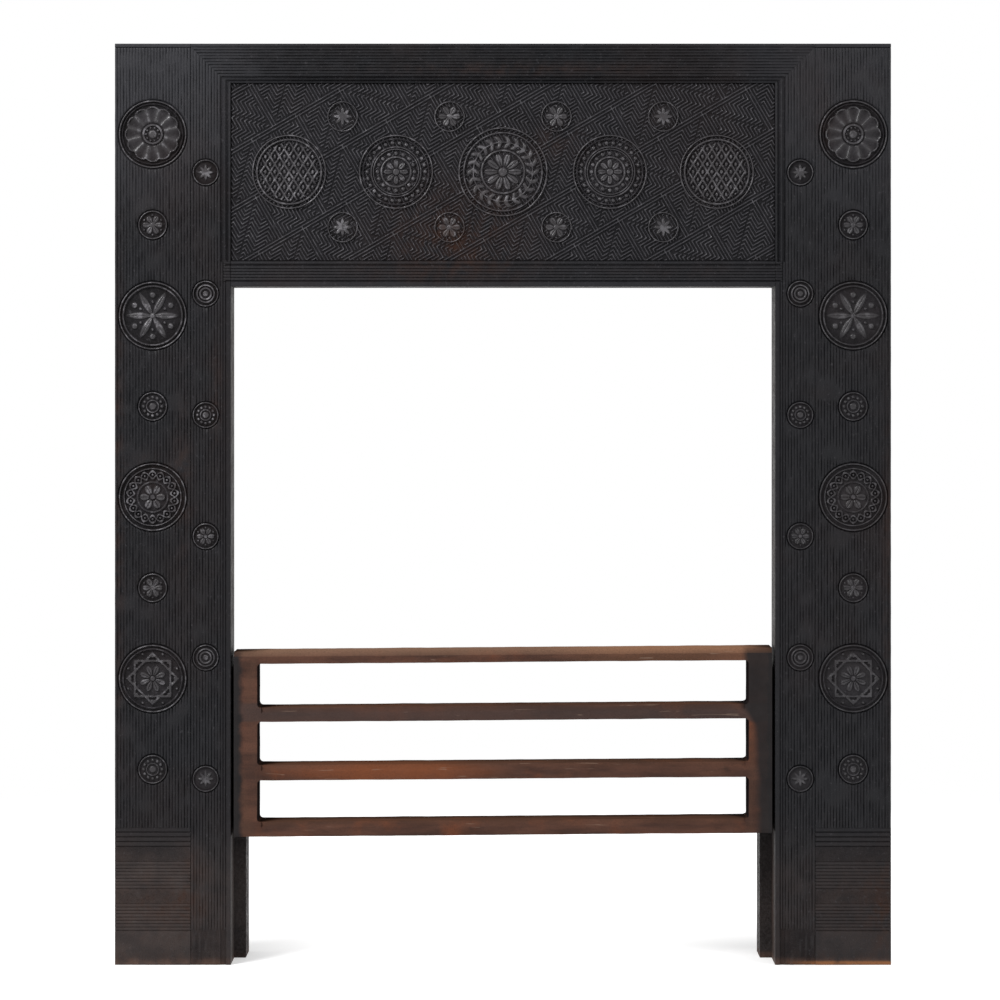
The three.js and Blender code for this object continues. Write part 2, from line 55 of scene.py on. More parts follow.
FIELD_LOW, FIELD_HIGH = 737.7, 923.7
REEDING_IN = 295.85  # the inner side of a stile's wide reeding, from the centre line
HEAD_REEDS = 930.3  # the lower side of the head's reeding
REED_PITCH = 3.1
SHEET_BACK = 3.0  # the depth of the backs of the reeded sheets
PANEL_CUT = 4.0  # the depth of the backs of the frieze's relief
EDGE_RADIUS = 1.3
EDGE_STEPS = np.array([0.0, 0.12, 0.45, 0.95, 1.4])  # where a rounded edge is sampled
RNG = np.random.RandomState(7)


def round_top(t):
    """The height of a circle's upper half, from 1 in its middle to 0 outside."""
    return np.sqrt(np.clip(1 - t, 0, 1))


def place(x, depth, z):
    """Millimetres across, back and up as points of the shared frame in metres."""
    x, depth, z = np.broadcast_arrays(x, depth, z)
    return np.stack([x, depth + FACE_Y, z], -1).reshape(-1, 3) / 1000.0


def smooth(a, b, x):
    """0 at a and 1 at b, with a soft rise or fall between them."""
    t = np.clip((x - a) / (b - a), 0.0, 1.0)
    return t * t * (3.0 - 2.0 * t)


WAVE_LENGTHS = (90, 60, 38, 24, 15, 9, 5.5, 3.6)
WAVES = [(RNG.uniform(0.7, 1.4) * length, RNG.uniform(0, 2 * pi), RNG.uniform(0, 2 * pi))
         for length in WAVE_LENGTHS for _ in range(3)]


def waver(x, z, low=9.0, high=200.0, seed=0.0):
    """A smooth uneven field of about -1 to 1, built of waves with lengths from low to high."""
    total, count = 0.0, 0
    for length, turn, phase in WAVES:
        if low <= length <= high:
            k = 2 * pi / length
            total = total + np.sin(k * (math.cos(turn) * x + math.sin(turn) * z) + phase + seed)
            count += 1
    return total / max(1.0, math.sqrt(count))


# ---------------- meshes
def linked(name, data):
    obj = bpy.data.objects.new(name, data)
    bpy.context.scene.collection.objects.link(obj)
    return obj


def new_object(name, points, faces, layers=None):
    mesh = bpy.data.meshes.new(name)
    mesh.from_pydata(points.tolist(), [], faces)
    for key, values in (layers or {}).items():
        layer = mesh.attributes.new(key, "FLOAT", "POINT")
        layer.data.foreach_set("value", np.asarray(values, np.float32).ravel())
    mesh.update()
    return linked(name, mesh)


def shade(obj, angle):
    """Smooth shading, with edges above an angle in degrees left sharp."""
    obj.data.shade_smooth()
    obj.data.set_sharp_from_angle(angle=radians(angle))


class Shells:
    """Closed shells gathered into one object: each has a relief in front and a flat back."""

    def __init__(self):
        self.points, self.faces, self.crest, self.stain = [], [], [], []
        self.count = 0

    def grid(self, x, depth, z, crest, stain, back):
        """x, depth and z are arrays of rows, with x rising along a row and z rising by row."""
        rows, cols = depth.shape
        index = np.arange(rows * cols).reshape(rows, cols)
        front = np.stack([index[:-1, :-1], index[:-1, 1:], index[1:, 1:], index[1:, :-1]], -1)
        faces = front.reshape(-1, 4).tolist()
        loop = np.concatenate([index[0, :-1], index[:-1, -1], index[-1, :0:-1], index[:0:-1, 0]])
        self._close(place(x, depth, z), faces, loop, back, crest, stain)

    def disc(self, cx, cz, x, depth, z, crest, stain, back):
        """x, depth and z have a row for each radius and a column for each angle round cx, cz."""
        rings, sides = depth.shape
        points = np.concatenate([place(cx, np.mean(depth[0]), cz), place(x, depth, z)])
        index = 1 + np.arange(rings * sides).reshape(rings, sides)
        after = np.roll(index, -1, axis=1)
        faces = np.stack([0 * index[0], index[0], after[0]], -1).tolist()
        faces += np.stack([index[:-1], index[1:], after[1:], after[:-1]], -1).reshape(-1, 4).tolist()
        crest, stain = (np.append(np.mean(values[0]), values) for values in (crest, stain))
        self._close(points, faces, index[-1], back, crest, stain)

    def _close(self, points, faces, loop, back, crest, stain):
        base, n = len(points), len(loop)
        rim = points[loop].copy()
        rim[:, 1] = (back + FACE_Y) / 1000.0
        at_back = base + np.arange(n)
        faces += np.stack([loop, at_back, np.roll(at_back, -1), np.roll(loop, -1)], -1).tolist()
        faces.append(at_back[::-1].tolist())
        self.faces += [[i + self.count for i in f] for f in faces]
        self.points.append(np.concatenate([points, rim]))
        for values, found in ((np.ravel(crest), self.crest), (np.ravel(stain), self.stain)):
            found.append(np.concatenate([values, values[loop]]))
        self.count += base + n

    def build(self, name, angle):
        obj = new_object(name, np.concatenate(self.points), self.faces,
                         {"crest": np.concatenate(self.crest), "stain": np.concatenate(self.stain)})
        shade(obj, angle)
        return obj


def lines(low, high, coarse, fine=(), marks=(), least=0.05):
    """Rising positions from low to high: coarse steps, finer ones in (from, to, step) spans."""
    found = [low, high, *[m for m in marks if low < m < high]]
    edges = sorted({low, high, *[np.clip(v, low, high) for a, b, _ in fine for v in (a, b)]})
    for a, b in zip(edges, edges[1:]):
        step = min([s for p, q, s in fine if p <= (a + b) / 2 <= q], default=coarse)
        found.extend(np.linspace(a, b, max(1, int(math.ceil((b - a) / step))) + 1))
    found = np.unique(np.round(np.array(found, float), 4))
    keep = [found[0]]
    for value in found[1:]:
        if value - keep[-1] > least:
            keep.append(value)
    keep[-1] = found[-1]
    return np.array(keep)


def apart(groups, least):
    """Rising positions from several groups, without those that lie too near the one before."""
    found = np.unique(np.concatenate(groups))
    keep = found[np.concatenate([[True], np.diff(found) > least])]
    keep[-1] = found[-1]
    return keep


# Where each sample of a reed lies across it, from one root to the next.
REED_SAMPLES = np.array([0.0, 0.1, 0.28, 0.5, 0.72, 0.9])
# How far apart the wear of neighbouring reeds is read, and the depth of their roots.
REED_STRIDE, ROOT_STRIDE = 41.0, 29.0
FILLED_ROOT = 0.32  # the depth of a root that is full of old blacking


def reed_count(low, high, pitch):
    return int(abs(high - low) / pitch + 0.01)


def reed_place(x, low, high, pitch):
    """How many reeds lie between low and x."""
    return (x - low) / (high - low) * reed_count(low, high, pitch)


def reed_lines(low, high, pitch=REED_PITCH):
    count = reed_count(low, high, pitch)
    step = (high - low) / count
    return np.append((low + step * (np.arange(count)[:, None] + REED_SAMPLES)).ravel(), high)


def reed_height(x, low, high, pitch=REED_PITCH):
    """0 in the roots and 1 on the crests of a row of round reeds."""
    t = reed_place(x, low, high, pitch) % 1.0
    t = np.minimum(t, 1.0 - t) * 2.0
    return round_top((1.0 - t) ** 2)


def worn_reeds(reeds, across, along, low, high):
    """The depth of a row of reeds. Each reed has its own wear and each root its own depth: clean
    and deep in places, and filled with old blacking in others."""
    which = reed_place(across, low, high, REED_PITCH)
    worn = 0.09 + 0.10 * waver(np.floor(which) * REED_STRIDE, along, 20, 90, 6.0)
    root = 0.92 + 0.34 * waver(np.round(which) * ROOT_STRIDE, along, 9, 60, 8.0)
    filled = smooth(0.5, 1.3, waver(across, along, 24, 90, 9.0))
    root = root + (FILLED_ROOT - root) * filled
    return root + (np.maximum(worn, 0.0) - root) * reeds


def reed_tone(depth):
    """How high the worn reeds stand, from 0 to 1, by their depth."""
    return 1.0 - (depth - 0.05) / 0.85


def moulded(height):
    """The depth of a moulding from its height of 0 to 1."""
    return 1.25 - 1.2 * height


def round_edge(distance, radius):
    """How far a rounded edge falls back at a distance from it."""
    d = np.clip(distance, 0.0, radius)
    return radius - np.sqrt(np.clip(radius ** 2 - (radius - d) ** 2, 0.0, None))


def band(z, low, high, edge=0.7):
    """1 inside a band and 0 outside it, with soft edges."""
    rise = smooth(low - edge / 2, low + edge / 2, z)
    return rise * (1 - smooth(high - edge / 2, high + edge / 2, z))


def inside_of(edge, x):
    """1 below an edge and 0 beyond it, with a soft step."""
    return smooth(edge + 0.4, edge - 0.4, x)


def sheet_wear(x, z):
    return 0.10 * waver(x, z, 20, 200) + 0.05 * waver(x, z, 3, 15)


# Brown patches that show through the black, as (x, z, width, height, strength).
STAINS = [(-50, 765, 60, 38, 0.9), (55, 860, 34, 22, 0.35), (-62, 727, 80, 10, 0.55),
          (180, 727, 90, 8, 0.15), (25, 938, 130, 7, 0.5), (-365, 62, 60, 40, 0.55),
          (-330, 70, 14, 40, 0.7), (-385, 6, 70, 7, 0.6), (-335, 500, 10, 90, 0.35),
          (-365, 515, 24, 24, 0.3), (-300, 590, 8, 60, 0.35), (-404, 480, 7, 240, 0.5),
          (368, 60, 60, 40, 0.3), (398, 60, 14, 52, 0.8), (345, 6, 90, 6, 0.6),
          (335, 880, 8, 40, 0.3), (403, 420, 6, 160, 0.4)]


def stain_at(x, z):
    total = 0.0 * x
    for cx, cz, width, height, strength in STAINS:
        total = total + strength * np.exp(-(((x - cx) / width) ** 2 + ((z - cz) / height) ** 2))
    patchy = 0.62 + 0.38 * waver(x, z, 5, 60, 2.0)
    return np.clip(total * patchy, 0.0, 1.0)


# ---------------- roundel motifs
# Each motif takes u, from 0 in the middle to 1 inside the rim, and an angle, and gives 0 to 1.
def near(angle, n, turn=0.0):
    """The angle to the nearest of n rays."""
    step = 2 * pi / n
    return ((angle - turn * step) / step + 0.5) % 1.0 * step - step / 2


def ring(u, middle, half):
    """A round ridge."""
    return round_top(((u - middle) / half) ** 2)


def beads(u, a, middle, n, size, turn=0.0):
    return round_top(((u - middle) ** 2 + (u * near(a, n, turn)) ** 2) / size ** 2)


def boss(u, size):
    return ring(u, 0.0, size)


def lobes(u, a, inner, outer, n, turn=0.0, fill=0.94, vein=0.0):
    """A ring of petals, each with a vein along its middle."""
    t = np.clip((u - inner) / (outer - inner), 0, 1)
    swell = np.sqrt(np.clip(np.sin(pi * np.clip(0.30 + 0.70 * t, 0, 1)), 0, 1))
    half = fill * pi / n * swell
    across = np.abs(near(a, n, turn)) / np.maximum(half, 1e-4)
    shape = round_top(across ** 2) * ((u > inner) & (u < outer))
    shape = shape * smooth(0.0, 0.12, t) * (0.55 + 0.45 * t)
    return shape * (1 - vein * np.exp(-(across / 0.16) ** 2))


def strap(distance, half):
    """A raised strap with rounded edges, from the distance to its middle line."""
    return smooth(half * 1.25, half * 0.75, np.abs(distance))


def best(*parts):
    return np.maximum.reduce(parts)


def patera(u, a):
    n = 12
    flute = np.cos(near(a, n) * n / 2)
    edge = 0.86 - 0.07 * (1 - flute)
    land = 1 - 0.85 * np.clip(flute, 0, 1) ** 0.55
    body = (0.25 + 0.75 * land) * smooth(0.34, 0.40, u) * smooth(edge + 0.02, edge - 0.02, u)
    lip = strap(u - edge, 0.022)
    return best(body * 0.8, lip, ring(u, 0.29, 0.035), beads(u, a, 0.21, 10, 0.035), boss(u, 0.13),
                ring(u, 0.95, 0.022) * 0.8)


def compass(u, a):
    x, z = u * np.cos(a), u * np.sin(a)
    reach = 0.86
    sixth = pi / 3
    vein = 1 - 0.45 * np.exp(-(u * np.abs(near(a, 6)) / 0.018) ** 2)
    petals = 0 * u
    for k in range(6):
        one, two = (np.hypot(x - reach * math.cos(t), z - reach * math.sin(t))
                    for t in ((k - 1) * sixth, (k + 1) * sixth))
        inside = np.clip((reach - np.maximum(one, two)) / (reach * 0.134), 0, 1)
        petals = np.maximum(petals, np.sqrt(inside) * vein)
    arcs = beads(u, a, 0.66, 6, 0.10, 0.5)
    dots = beads(u, a, 0.44, 6, 0.045, 0.5)
    return best(petals, arcs * 0.9, dots, ring(u, 0.93, 0.03), boss(u, 0.07))


def guilloche(u, a):
    n = 9
    wave = 0.115 * np.sin(n * a)
    one, two = strap(u - (0.70 + wave), 0.035), strap(u - (0.70 - wave), 0.035)
    eyes = beads(u, a, 0.70, 2 * n, 0.045, 0.5)
    inner = lobes(u, a, 0.10, 0.40, 6, 0, 0.9, 0.5)
    return best(one, two, eyes * 0.9, inner, ring(u, 0.475, 0.025), ring(u, 0.90, 0.025), boss(u, 0.09))


def star(u, a):
    x, z = u * np.cos(a), u * np.sin(a)
    xr, zr = (x + z) / math.sqrt(2), (x - z) / math.sqrt(2)
    one = strap(np.maximum(np.abs(x), np.abs(z)) - 0.56, 0.035)
    two = strap(np.maximum(np.abs(xr), np.abs(zr)) - 0.56, 0.035)
    points = best(beads(u, a, 0.70, 8, 0.05), beads(u, a, 0.83, 8, 0.045, 0.5))
    inner = lobes(u, a, 0.09, 0.42, 8, 0.5, 0.92, 0.5)
    return best(one, two, points, inner, ring(u, 0.93, 0.025), boss(u, 0.08))


def beaded(u, a):
    return best(beads(u, a, 0.83, 26, 0.06), ring(u, 0.71, 0.028), ring(u, 0.645, 0.022),
                beads(u, a, 0.53, 16, 0.058), ring(u, 0.42, 0.028), lobes(u, a, 0.10, 0.35, 8, 0, 0.9, 0.4),
                boss(u, 0.10), ring(u, 0.94, 0.022))


def diaper(u, a):
    x, z = u * np.cos(a), u * np.sin(a)
    pitch, slope = 0.27, 0.62
    s, t = (x + z * slope) / pitch, (x - z * slope) / pitch
    net = best(strap((s + 0.5) % 1 - 0.5, 0.12), strap((t + 0.5) % 1 - 0.5, 0.12))
    stud = round_top(((s % 1 - 0.5) ** 2 + (t % 1 - 0.5) ** 2) / 0.05)
    return best(best(net * 0.8, stud) * smooth(0.86, 0.83, u), ring(u, 0.92, 0.035))


def laurel(u, a):
    n = 22
    swing = near(a, n) * n / (2 * pi)
    out = np.abs(u - 0.70) / 0.155
    leaf = np.clip(1 - np.abs(swing * 2 - 0.9 * (out - 0.5)) ** 1.6 * 2.2, 0, 1)
    leaf = leaf * np.clip(1.08 - out ** 3, 0, 1)
    leaf = np.where(out < 1.05, np.sqrt(np.clip(leaf, 0, 1)), 0) * (0.75 + 0.25 * out)
    stem = strap(u - 0.70, 0.018)
    inner = lobes(u, a, 0.12, 0.44, 10, 0, 0.92, 0.5)
    return best(leaf * 0.95, stem, ring(u, 0.505, 0.022), inner, boss(u, 0.11), ring(u, 0.92, 0.024))


def small_flower(u, a):
    return best(lobes(u, a, 0.18, 0.80, 6, 0, 0.93, 0.45), boss(u, 0.2), beads(u, a, 0.78, 6, 0.09, 0.5))


def small_beads(u, a):
    return best(beads(u, a, 0.74, 12, 0.13), ring(u, 0.48, 0.07), boss(u, 0.28))


def small_star(u, a):
    edge = 0.40 + 0.40 * (1 - np.abs(near(a, 8)) * 8 / pi)
    return best(np.clip((edge - u) / 0.30, 0, 1) ** 0.7, boss(u, 0.2)) * smooth(0.88, 0.84, u)


def small_rings(u, a):
    return best(ring(u, 0.76, 0.08), ring(u, 0.50, 0.08), boss(u, 0.26))


# The sizes of a roundel, with the depths of its front, floor and back.
Size = namedtuple("Size", "radius front floor back rings sides rim")
LARGE = Size(35.5, -0.8, 1.7, SHEET_BACK, 46, 216, 1.7)
SMALL = Size(15.0, -0.7, 1.4, SHEET_BACK, 22, 96, 1.3)
NARROW = Size(13.5, -0.7, 1.4, SHEET_BACK, 20, 90, 1.2)
FRIEZE_CENTRE = Size(47, 0.4, 2.95, PANEL_CUT, 60, 264, 1.9)
FRIEZE_LARGE = Size(39, 0.4, 2.95, PANEL_CUT, 52, 232, 1.8)
FRIEZE_SMALL = Size(16, 0.5, 2.7, PANEL_CUT, 22, 96, 1.3)


def roundel(shells, cx, cz, size, motif):
    """A closed medallion: a thin rounded rim, a groove inside it and a motif on a domed floor."""
    radius, front, floor, back, rings, sides, rim = size
    rim_steps = np.array([0.0, 0.25, 0.7, rim * 0.5, rim - 0.35, rim, rim + 0.5])
    radii = np.unique(np.concatenate([
        radius * (np.arange(1, rings + 1) / rings) ** 0.9 * 0.985, radius - rim_steps]))
    radii = radii[radii > radius * 0.02]
    angles = np.arange(sides) * 2 * pi / sides
    r, a = np.meshgrid(radii, angles, indexing="ij")
    u = np.clip(r / (radius - rim - 0.6), 0, 1.2)
    top = np.where(u < 1.0, motif(np.minimum(u, 1.0), a), 0.0)
    dome = 0.35 * (1 - np.minimum(u, 1) ** 2)
    relief = np.clip(dome + top * (1 - 0.25 * dome), 0, 1)
    depth = floor + (front - floor) * relief
    rim_height = ring(r, radius - rim / 2, rim / 2 + 0.15)
    depth = np.minimum(depth, floor + 0.2 + (front - floor - 0.2) * rim_height)
    x, z = cx + r * np.cos(a), cz + r * np.sin(a)
    depth = np.clip(depth + 0.07 * waver(x, z, 3, 20, 1.0), front, None)
    crest = np.clip((floor - depth) / (floor - front), 0, 1)
    shells.disc(cx, cz, x, depth, z, crest, stain_at(x, z), back)


def roundels(places):
    """Medallions from places of (x, z, size, motif)."""
    shells = Shells()
    for at in places:
        roundel(shells, *at)
    return shells


def column(x, rows):
    """The places of roundels above each other, from rows of (z, size, motif)."""
    return [(x, *row) for row in rows]


def fine_rows(rows, step):
    """The spans of height that roundels take up, with the step between rows of vertices there."""
    return [(z - size.radius - 2.0, z + size.radius + 2.0, step) for z, size, _ in rows]


def sink_round(depth, height, x, z, places, valley):
    """Reeds give way to a narrow groove round each roundel and lie low under it."""
    cover = np.zeros_like(depth)
    for cx, cz, size, _ in places:
        cover = np.maximum(cover, 1 - smooth(0.5, 1.6, np.hypot(x - cx, z - cz) - size.radius))
    return depth + (valley - depth) * cover, np.where(cover > 0.5, 0.0, height)


def sheet(x, depth, z, height):
    """A closed reeded sheet, with its crests and its stains."""
    shells = Shells()
    crest = np.clip(height + 0.04 * waver(x, z, 9, 40, 3.0), 0, 1)
    shells.grid(x, np.clip(depth, 0.0, SHEET_BACK - 0.2), z, crest, stain_at(x, z), SHEET_BACK)
    return shells


# ---------------- pilasters
PILASTER_X = (SEAM + SEAM_HALF + OUTER) / 2
PILASTER_ROUNDELS = [
    (870, LARGE, patera), (680, LARGE, compass), (490, LARGE, guilloche), (300, LARGE, star),
    (775, SMALL, small_flower), (585, SMALL, small_beads), (395, SMALL, small_flower),
    (205, SMALL, small_beads)]
FOOT_PLAIN = 35.4  # the top of the plain lowest band
BANDS = [(36.0, 64.0), (80.0, 108.0)]
BAND_PITCH = 3.5
RIBS = (124.0, 144.0)
RIB_PITCH = 5.0
FOOT_TOP = RIBS[1]


def foot_height(z):
    """The foot block: plain bands between two bands of small reeds, and wide ribs at the top."""
    height = np.full_like(z, 0.62)
    for low, high in BANDS:
        reeds = 0.25 + 0.75 * reed_height(z, low, high, BAND_PITCH)
        height = np.where((z >= low) & (z <= high), reeds, height)
    ribs = reed_height(z, *RIBS, RIB_PITCH)
    height = np.where((z >= RIBS[0]) & (z <= RIBS[1]), ribs, height)
    return np.where(z < FOOT_PLAIN, 0.95, height)


def pilaster_face(side):
    low, high = sorted((side * (SEAM + SEAM_HALF), side * OUTER))
    xs = apart([reed_lines(low, high), low + EDGE_STEPS, high - EDGE_STEPS], 0.09)
    foot = [v for a, b in BANDS for v in reed_lines(a, b, BAND_PITCH)]
    foot += [*reed_lines(*RIBS, RIB_PITCH), *(FOOT_TOP + np.array([-0.5, 0.0, 0.8, 2.5]))]
    lip = LIP + np.array([0.12, 0.0, -0.7, -2.0, -5.0])
    marks = [*EDGE_STEPS, *foot, *(TOP - EDGE_STEPS), *lip]
    zs = lines(0.0, TOP, 5.0, fine_rows(PILASTER_ROUNDELS, 1.2), marks)
    x, z = np.meshgrid(xs, zs)
    reeds = reed_height(x, low, high)
    depth = worn_reeds(reeds, x, z, low, high)
    places = column(side * PILASTER_X, PILASTER_ROUNDELS)
    depth, height = sink_round(depth, reed_tone(depth), x, z, places, 1.9)
    soft_end = smooth(0.0, 1.3, LIP - z)
    depth = 1.45 + (depth - 1.45) * soft_end
    # The reeds' upper ends take a painted highlight, as if catching the light from above.
    height = np.clip(height * soft_end + reeds * band(LIP - z, 0.4, 3.0), 0, 1)
    block = foot_height(z)
    depth = np.where(z < FOOT_TOP, moulded(block), depth)
    height = np.where(z < FOOT_TOP, block * 0.9, height)
    depth = np.where(z > LIP, 0.15, depth)
    # The plain lip along the top takes a painted highlight.
    height = np.where(z > LIP, 0.9, height)
    wear = sheet_wear(x, z)
    depth = depth + 0.35 * wear
    seam, outer = (x - low, high - x) if side > 0 else (high - x, x - low)
    for distance, radius in ((seam, 0.5), (outer, EDGE_RADIUS), (z, EDGE_RADIUS), (TOP - z, EDGE_RADIUS)):
        depth = depth + round_edge(distance, radius) * (0.85 + 0.15 * wear)
    bare_edge = (x - low < 0.5) | (high - x < 0.5) | (z < 0.6) | (TOP - z < 0.5)
    return sheet(x, depth, z, np.where(bare_edge, 0.9, height))


# ---------------- portal frame
PORTAL_SIDE = SEAM - SEAM_HALF
STILE_X = (PORTAL_SIDE + REEDING_IN) / 2
STILE_ROUNDELS = [
    (830, NARROW, small_star), (703, NARROW, small_rings), (576, NARROW, small_beads),
    (449, NARROW, small_flower), (322, NARROW, small_rings), (195, NARROW, small_star)]
NARROW_REEDS = OPENING + 5.3  # where a stile's narrow reeds begin
NARROW_PITCH = 2.7
LINTEL_END = 292.8  # where the lintel's mouldings end in a stile
LINTEL_REEDS = (716.7, 732.2)
LINTEL_BEAD, LINTEL_BEAD_HALF = 735.4, 1.6
MOULDING_FOOT = 736.5  # where the moulding round the frieze begins
MITRE_FOOT = 918.0  # the last level row below the mitre of stile and head
# Where the moulding round the frieze is sampled, from the field to the reeds.
MOULDING_STEPS = np.array([0, .04, .1, .16, .22, .28, .36, .5, .57, .64, .7, .77, .86, .93])


def moulding_height(t):
    """Across the frieze moulding, 0 at the field and 1 at the reeds."""
    rounds = np.maximum(ring(t, 0.13, 0.12), ring(t, 0.62, 0.11))
    flat = 0.35 * band(t, 0.40, 0.86, 0.05) - 0.35 * band(t, 0.26, 0.40, 0.04)
    flat = flat - 0.3 * band(t, 0.88, 1.0, 0.05)
    return np.where(rounds > 0.02, np.maximum(rounds, flat), flat)


def lintel_height(z):
    reeds = reed_height(z, *LINTEL_REEDS) * ((z > LINTEL_REEDS[0]) & (z < LINTEL_REEDS[1]))
    return best(inside_of(OPENING_TOP + FILLET, z), reeds, ring(z, LINTEL_BEAD, LINTEL_BEAD_HALF))


def stile_raised(ax, z):
    """The fillet, the narrow reeds, the lintel's ends and the moulding beside the wide reeding."""
    fillet = inside_of(OPENING + FILLET, ax) * (z < OPENING_TOP + FILLET + 0.4)
    lintel = lintel_height(z) * (z > OPENING_TOP + FILLET - 0.4) * (z < 738.0)
    lintel = lintel * inside_of(LINTEL_END, ax)
    moulding = moulding_height((ax - OPENING) / (REEDING_IN - OPENING))
    narrow = reed_height(ax, NARROW_REEDS, REEDING_IN, NARROW_PITCH)
    narrow = narrow * (ax > NARROW_REEDS) * smooth(36, 40, z)
    raised = np.where(z >= MOULDING_FOOT, moulding, np.maximum(fillet, lintel))
    return np.where((z < MOULDING_FOOT) & (lintel <= 0), np.maximum(raised, narrow), raised)


def stile_face(side):
    across = apart([
        OPENING + np.array([*EDGE_STEPS, 2.2, 3.0, 4.0, 4.7]),
        reed_lines(NARROW_REEDS, REEDING_IN, NARROW_PITCH), reed_lines(REEDING_IN, PORTAL_SIDE),
        PORTAL_SIDE - np.array([0.0, 0.12, 0.4])], 0.07)
    xs = np.sort(side * across)
    marks = [0.12, 0.5, 1.2, 30, 33, 36, 39, 42, 706, 710.0, *lines(714.5, 738.5, 0.55)]
    zs = lines(0.0, MITRE_FOOT, 6.0, fine_rows(STILE_ROUNDELS, 1.0), marks)
    mitre = np.interp(np.abs(xs), [OPENING, REEDING_IN, PORTAL_SIDE], [FIELD_HIGH, HEAD_REEDS, LIP])
    top_rows = MITRE_FOOT + np.linspace(0, 1, 5)[1:, None] * (mitre - MITRE_FOOT)
    z = np.concatenate([np.repeat(zs[:, None], len(xs), 1), top_rows])
    x = np.repeat(xs[None], len(z), 0)
    ax = np.abs(x)
    in_reeds, above_foot = ax >= REEDING_IN, smooth(36, 40, z)
    reeds = reed_height(ax, REEDING_IN, PORTAL_SIDE) * in_reeds
    reeds = reeds * above_foot + 0.5 * (1 - above_foot) * (ax >= REEDING_IN - 3)
    depth = worn_reeds(reeds, ax, z, REEDING_IN, PORTAL_SIDE)
    places = column(side * STILE_X, STILE_ROUNDELS)
    depth, height = sink_round(depth, reed_tone(depth), x, z, places, 1.8)
    raised = stile_raised(ax, z)
    depth = np.where(in_reeds, depth, moulded(raised)) + 0.35 * sheet_wear(x, z)
    height = np.where(in_reeds, height, raised * 0.85)
    depth = depth + np.where(z < 736.0, round_edge(ax - OPENING, EDGE_RADIUS), 0)
    depth = depth + round_edge(PORTAL_SIDE - ax, 0.35) + round_edge(z, EDGE_RADIUS)
    return sheet(x, depth, z, height)


def head_face():
    rows = apart([
        FIELD_HIGH + (HEAD_REEDS - FIELD_HIGH) * MOULDING_STEPS,
        reed_lines(HEAD_REEDS, LIP), [LIP + 0.5, LIP + 1.0], TOP - EDGE_STEPS], 0.07)
    half = np.interp(rows, [FIELD_HIGH, HEAD_REEDS, LIP, TOP],
                     [OPENING, REEDING_IN, PORTAL_SIDE, PORTAL_SIDE])
    along = np.linspace(-1, 1, 141)
    x = half[:, None] * along[None]
    z = np.repeat(rows[:, None], len(along), 1)
    in_reeds, lip = z >= HEAD_REEDS, z > LIP + 0.4
    moulding = moulding_height((z - FIELD_HIGH) / (HEAD_REEDS - FIELD_HIGH))
    height = np.where(in_reeds, reed_height(z, HEAD_REEDS, LIP), moulding)
    # The plain lip along the top takes a painted highlight.
    height = np.where(lip, 0.92, height)
    depth = np.where(in_reeds, worn_reeds(height, z, x, HEAD_REEDS, LIP) * 1.25, moulded(height))
    depth = np.where(lip, 0.15, depth)
    depth = depth + 0.35 * sheet_wear(x, z) + round_edge(TOP - z, EDGE_RADIUS)
    return sheet(x, depth, z, height * 0.85)


def lintel_face():
    rows = np.unique(np.concatenate([
        OPENING_TOP + np.array([*EDGE_STEPS, 2.5, 4.0, 4.6, 5.0, 5.4, 5.8]),
        reed_lines(*LINTEL_REEDS), [732.9],
        LINTEL_BEAD + np.array([-1.6, -1.3, -0.8, 0.0, 0.8, 1.3, 1.7]), [FIELD_LOW]]))
    x, z = np.meshgrid(np.linspace(-OPENING, OPENING, 121), rows)
    height = lintel_height(z)
    depth = moulded(height * (0.95 + 0.05 * waver(x, z, 9, 60, 1.5)))
    depth = depth + 0.35 * sheet_wear(x, z) + round_edge(z - OPENING_TOP, EDGE_RADIUS)
    return sheet(x, depth, z, height * 0.85)


# ---------------- frieze
FRET = 3.3  # the pitch of the fret's lines
FRET_TURN = radians(30.0)
FRET_FOOT = 0.30  # from the middle of a ridge to its foot, in pitches
CELL = 16
HALF_CELL = CELL // 2
FIELD_INSET = 0.5
FIELD_FLOOR = 3.1


def fret_edges(n):
    """Which unit steps of a square lattice carry a ridge, across and up: long double lines both
    ways, and between them stepped lines in short lengths that turn the other way in each next cell."""
    i, j = np.meshgrid(np.arange(-n, n), np.arange(-n, n), indexing="ij")
    row = j // CELL
    aside = i - HALF_CELL * (row % 2)
    mirrored = (row + aside // CELL) % 2
    cx, cy = aside % CELL, j % CELL
    fx = np.where(mirrored, CELL + 1 - cx, cx)
    tread = (fx - mirrored + cy) % CELL
    treads = (tread % HALF_CELL < HALF_CELL // 2) & (tread != 1) & (cx >= 2) & (cx < CELL - 1)
    risers = ((fx + cy) % HALF_CELL >= HALF_CELL // 2) & (cx >= 2) & (cy >= 2) & (cy < CELL - 1)
    joints = (cy == 0) & (cx == HALF_CELL)
    return (cy < 2) | treads, ((cx < 2) & (cy >= 1)) | risers | joints


def fret_heights(n):
    """Where the fret's lattice is sampled, in pitches, and 1 on its ridges there."""
    span = np.arange(-n + 1, n)
    samples = (span[:, None] + np.array([-FRET_FOOT, 0.0, FRET_FOOT])).ravel()
    across, up = fret_edges(n)
    right, left = across[1:, 1:], across[:-1, 1:]
    above, below = up[1:, 1:], up[1:, :-1]
    height = np.zeros((len(samples), len(samples)))
    height[1::3, 1::3] = right | left | above | below
    height[2::3, 1::3], height[0::3, 1::3] = right, left
    height[1::3, 2::3], height[1::3, 0::3] = above, below
    return samples, height


def slice_mesh(bm, point, normal, clear=False, reach=1e-7):
    bmesh.ops.bisect_plane(bm, geom=bm.verts[:] + bm.edges[:] + bm.faces[:], dist=reach,
                           plane_co=point, plane_no=normal, clear_outer=clear)


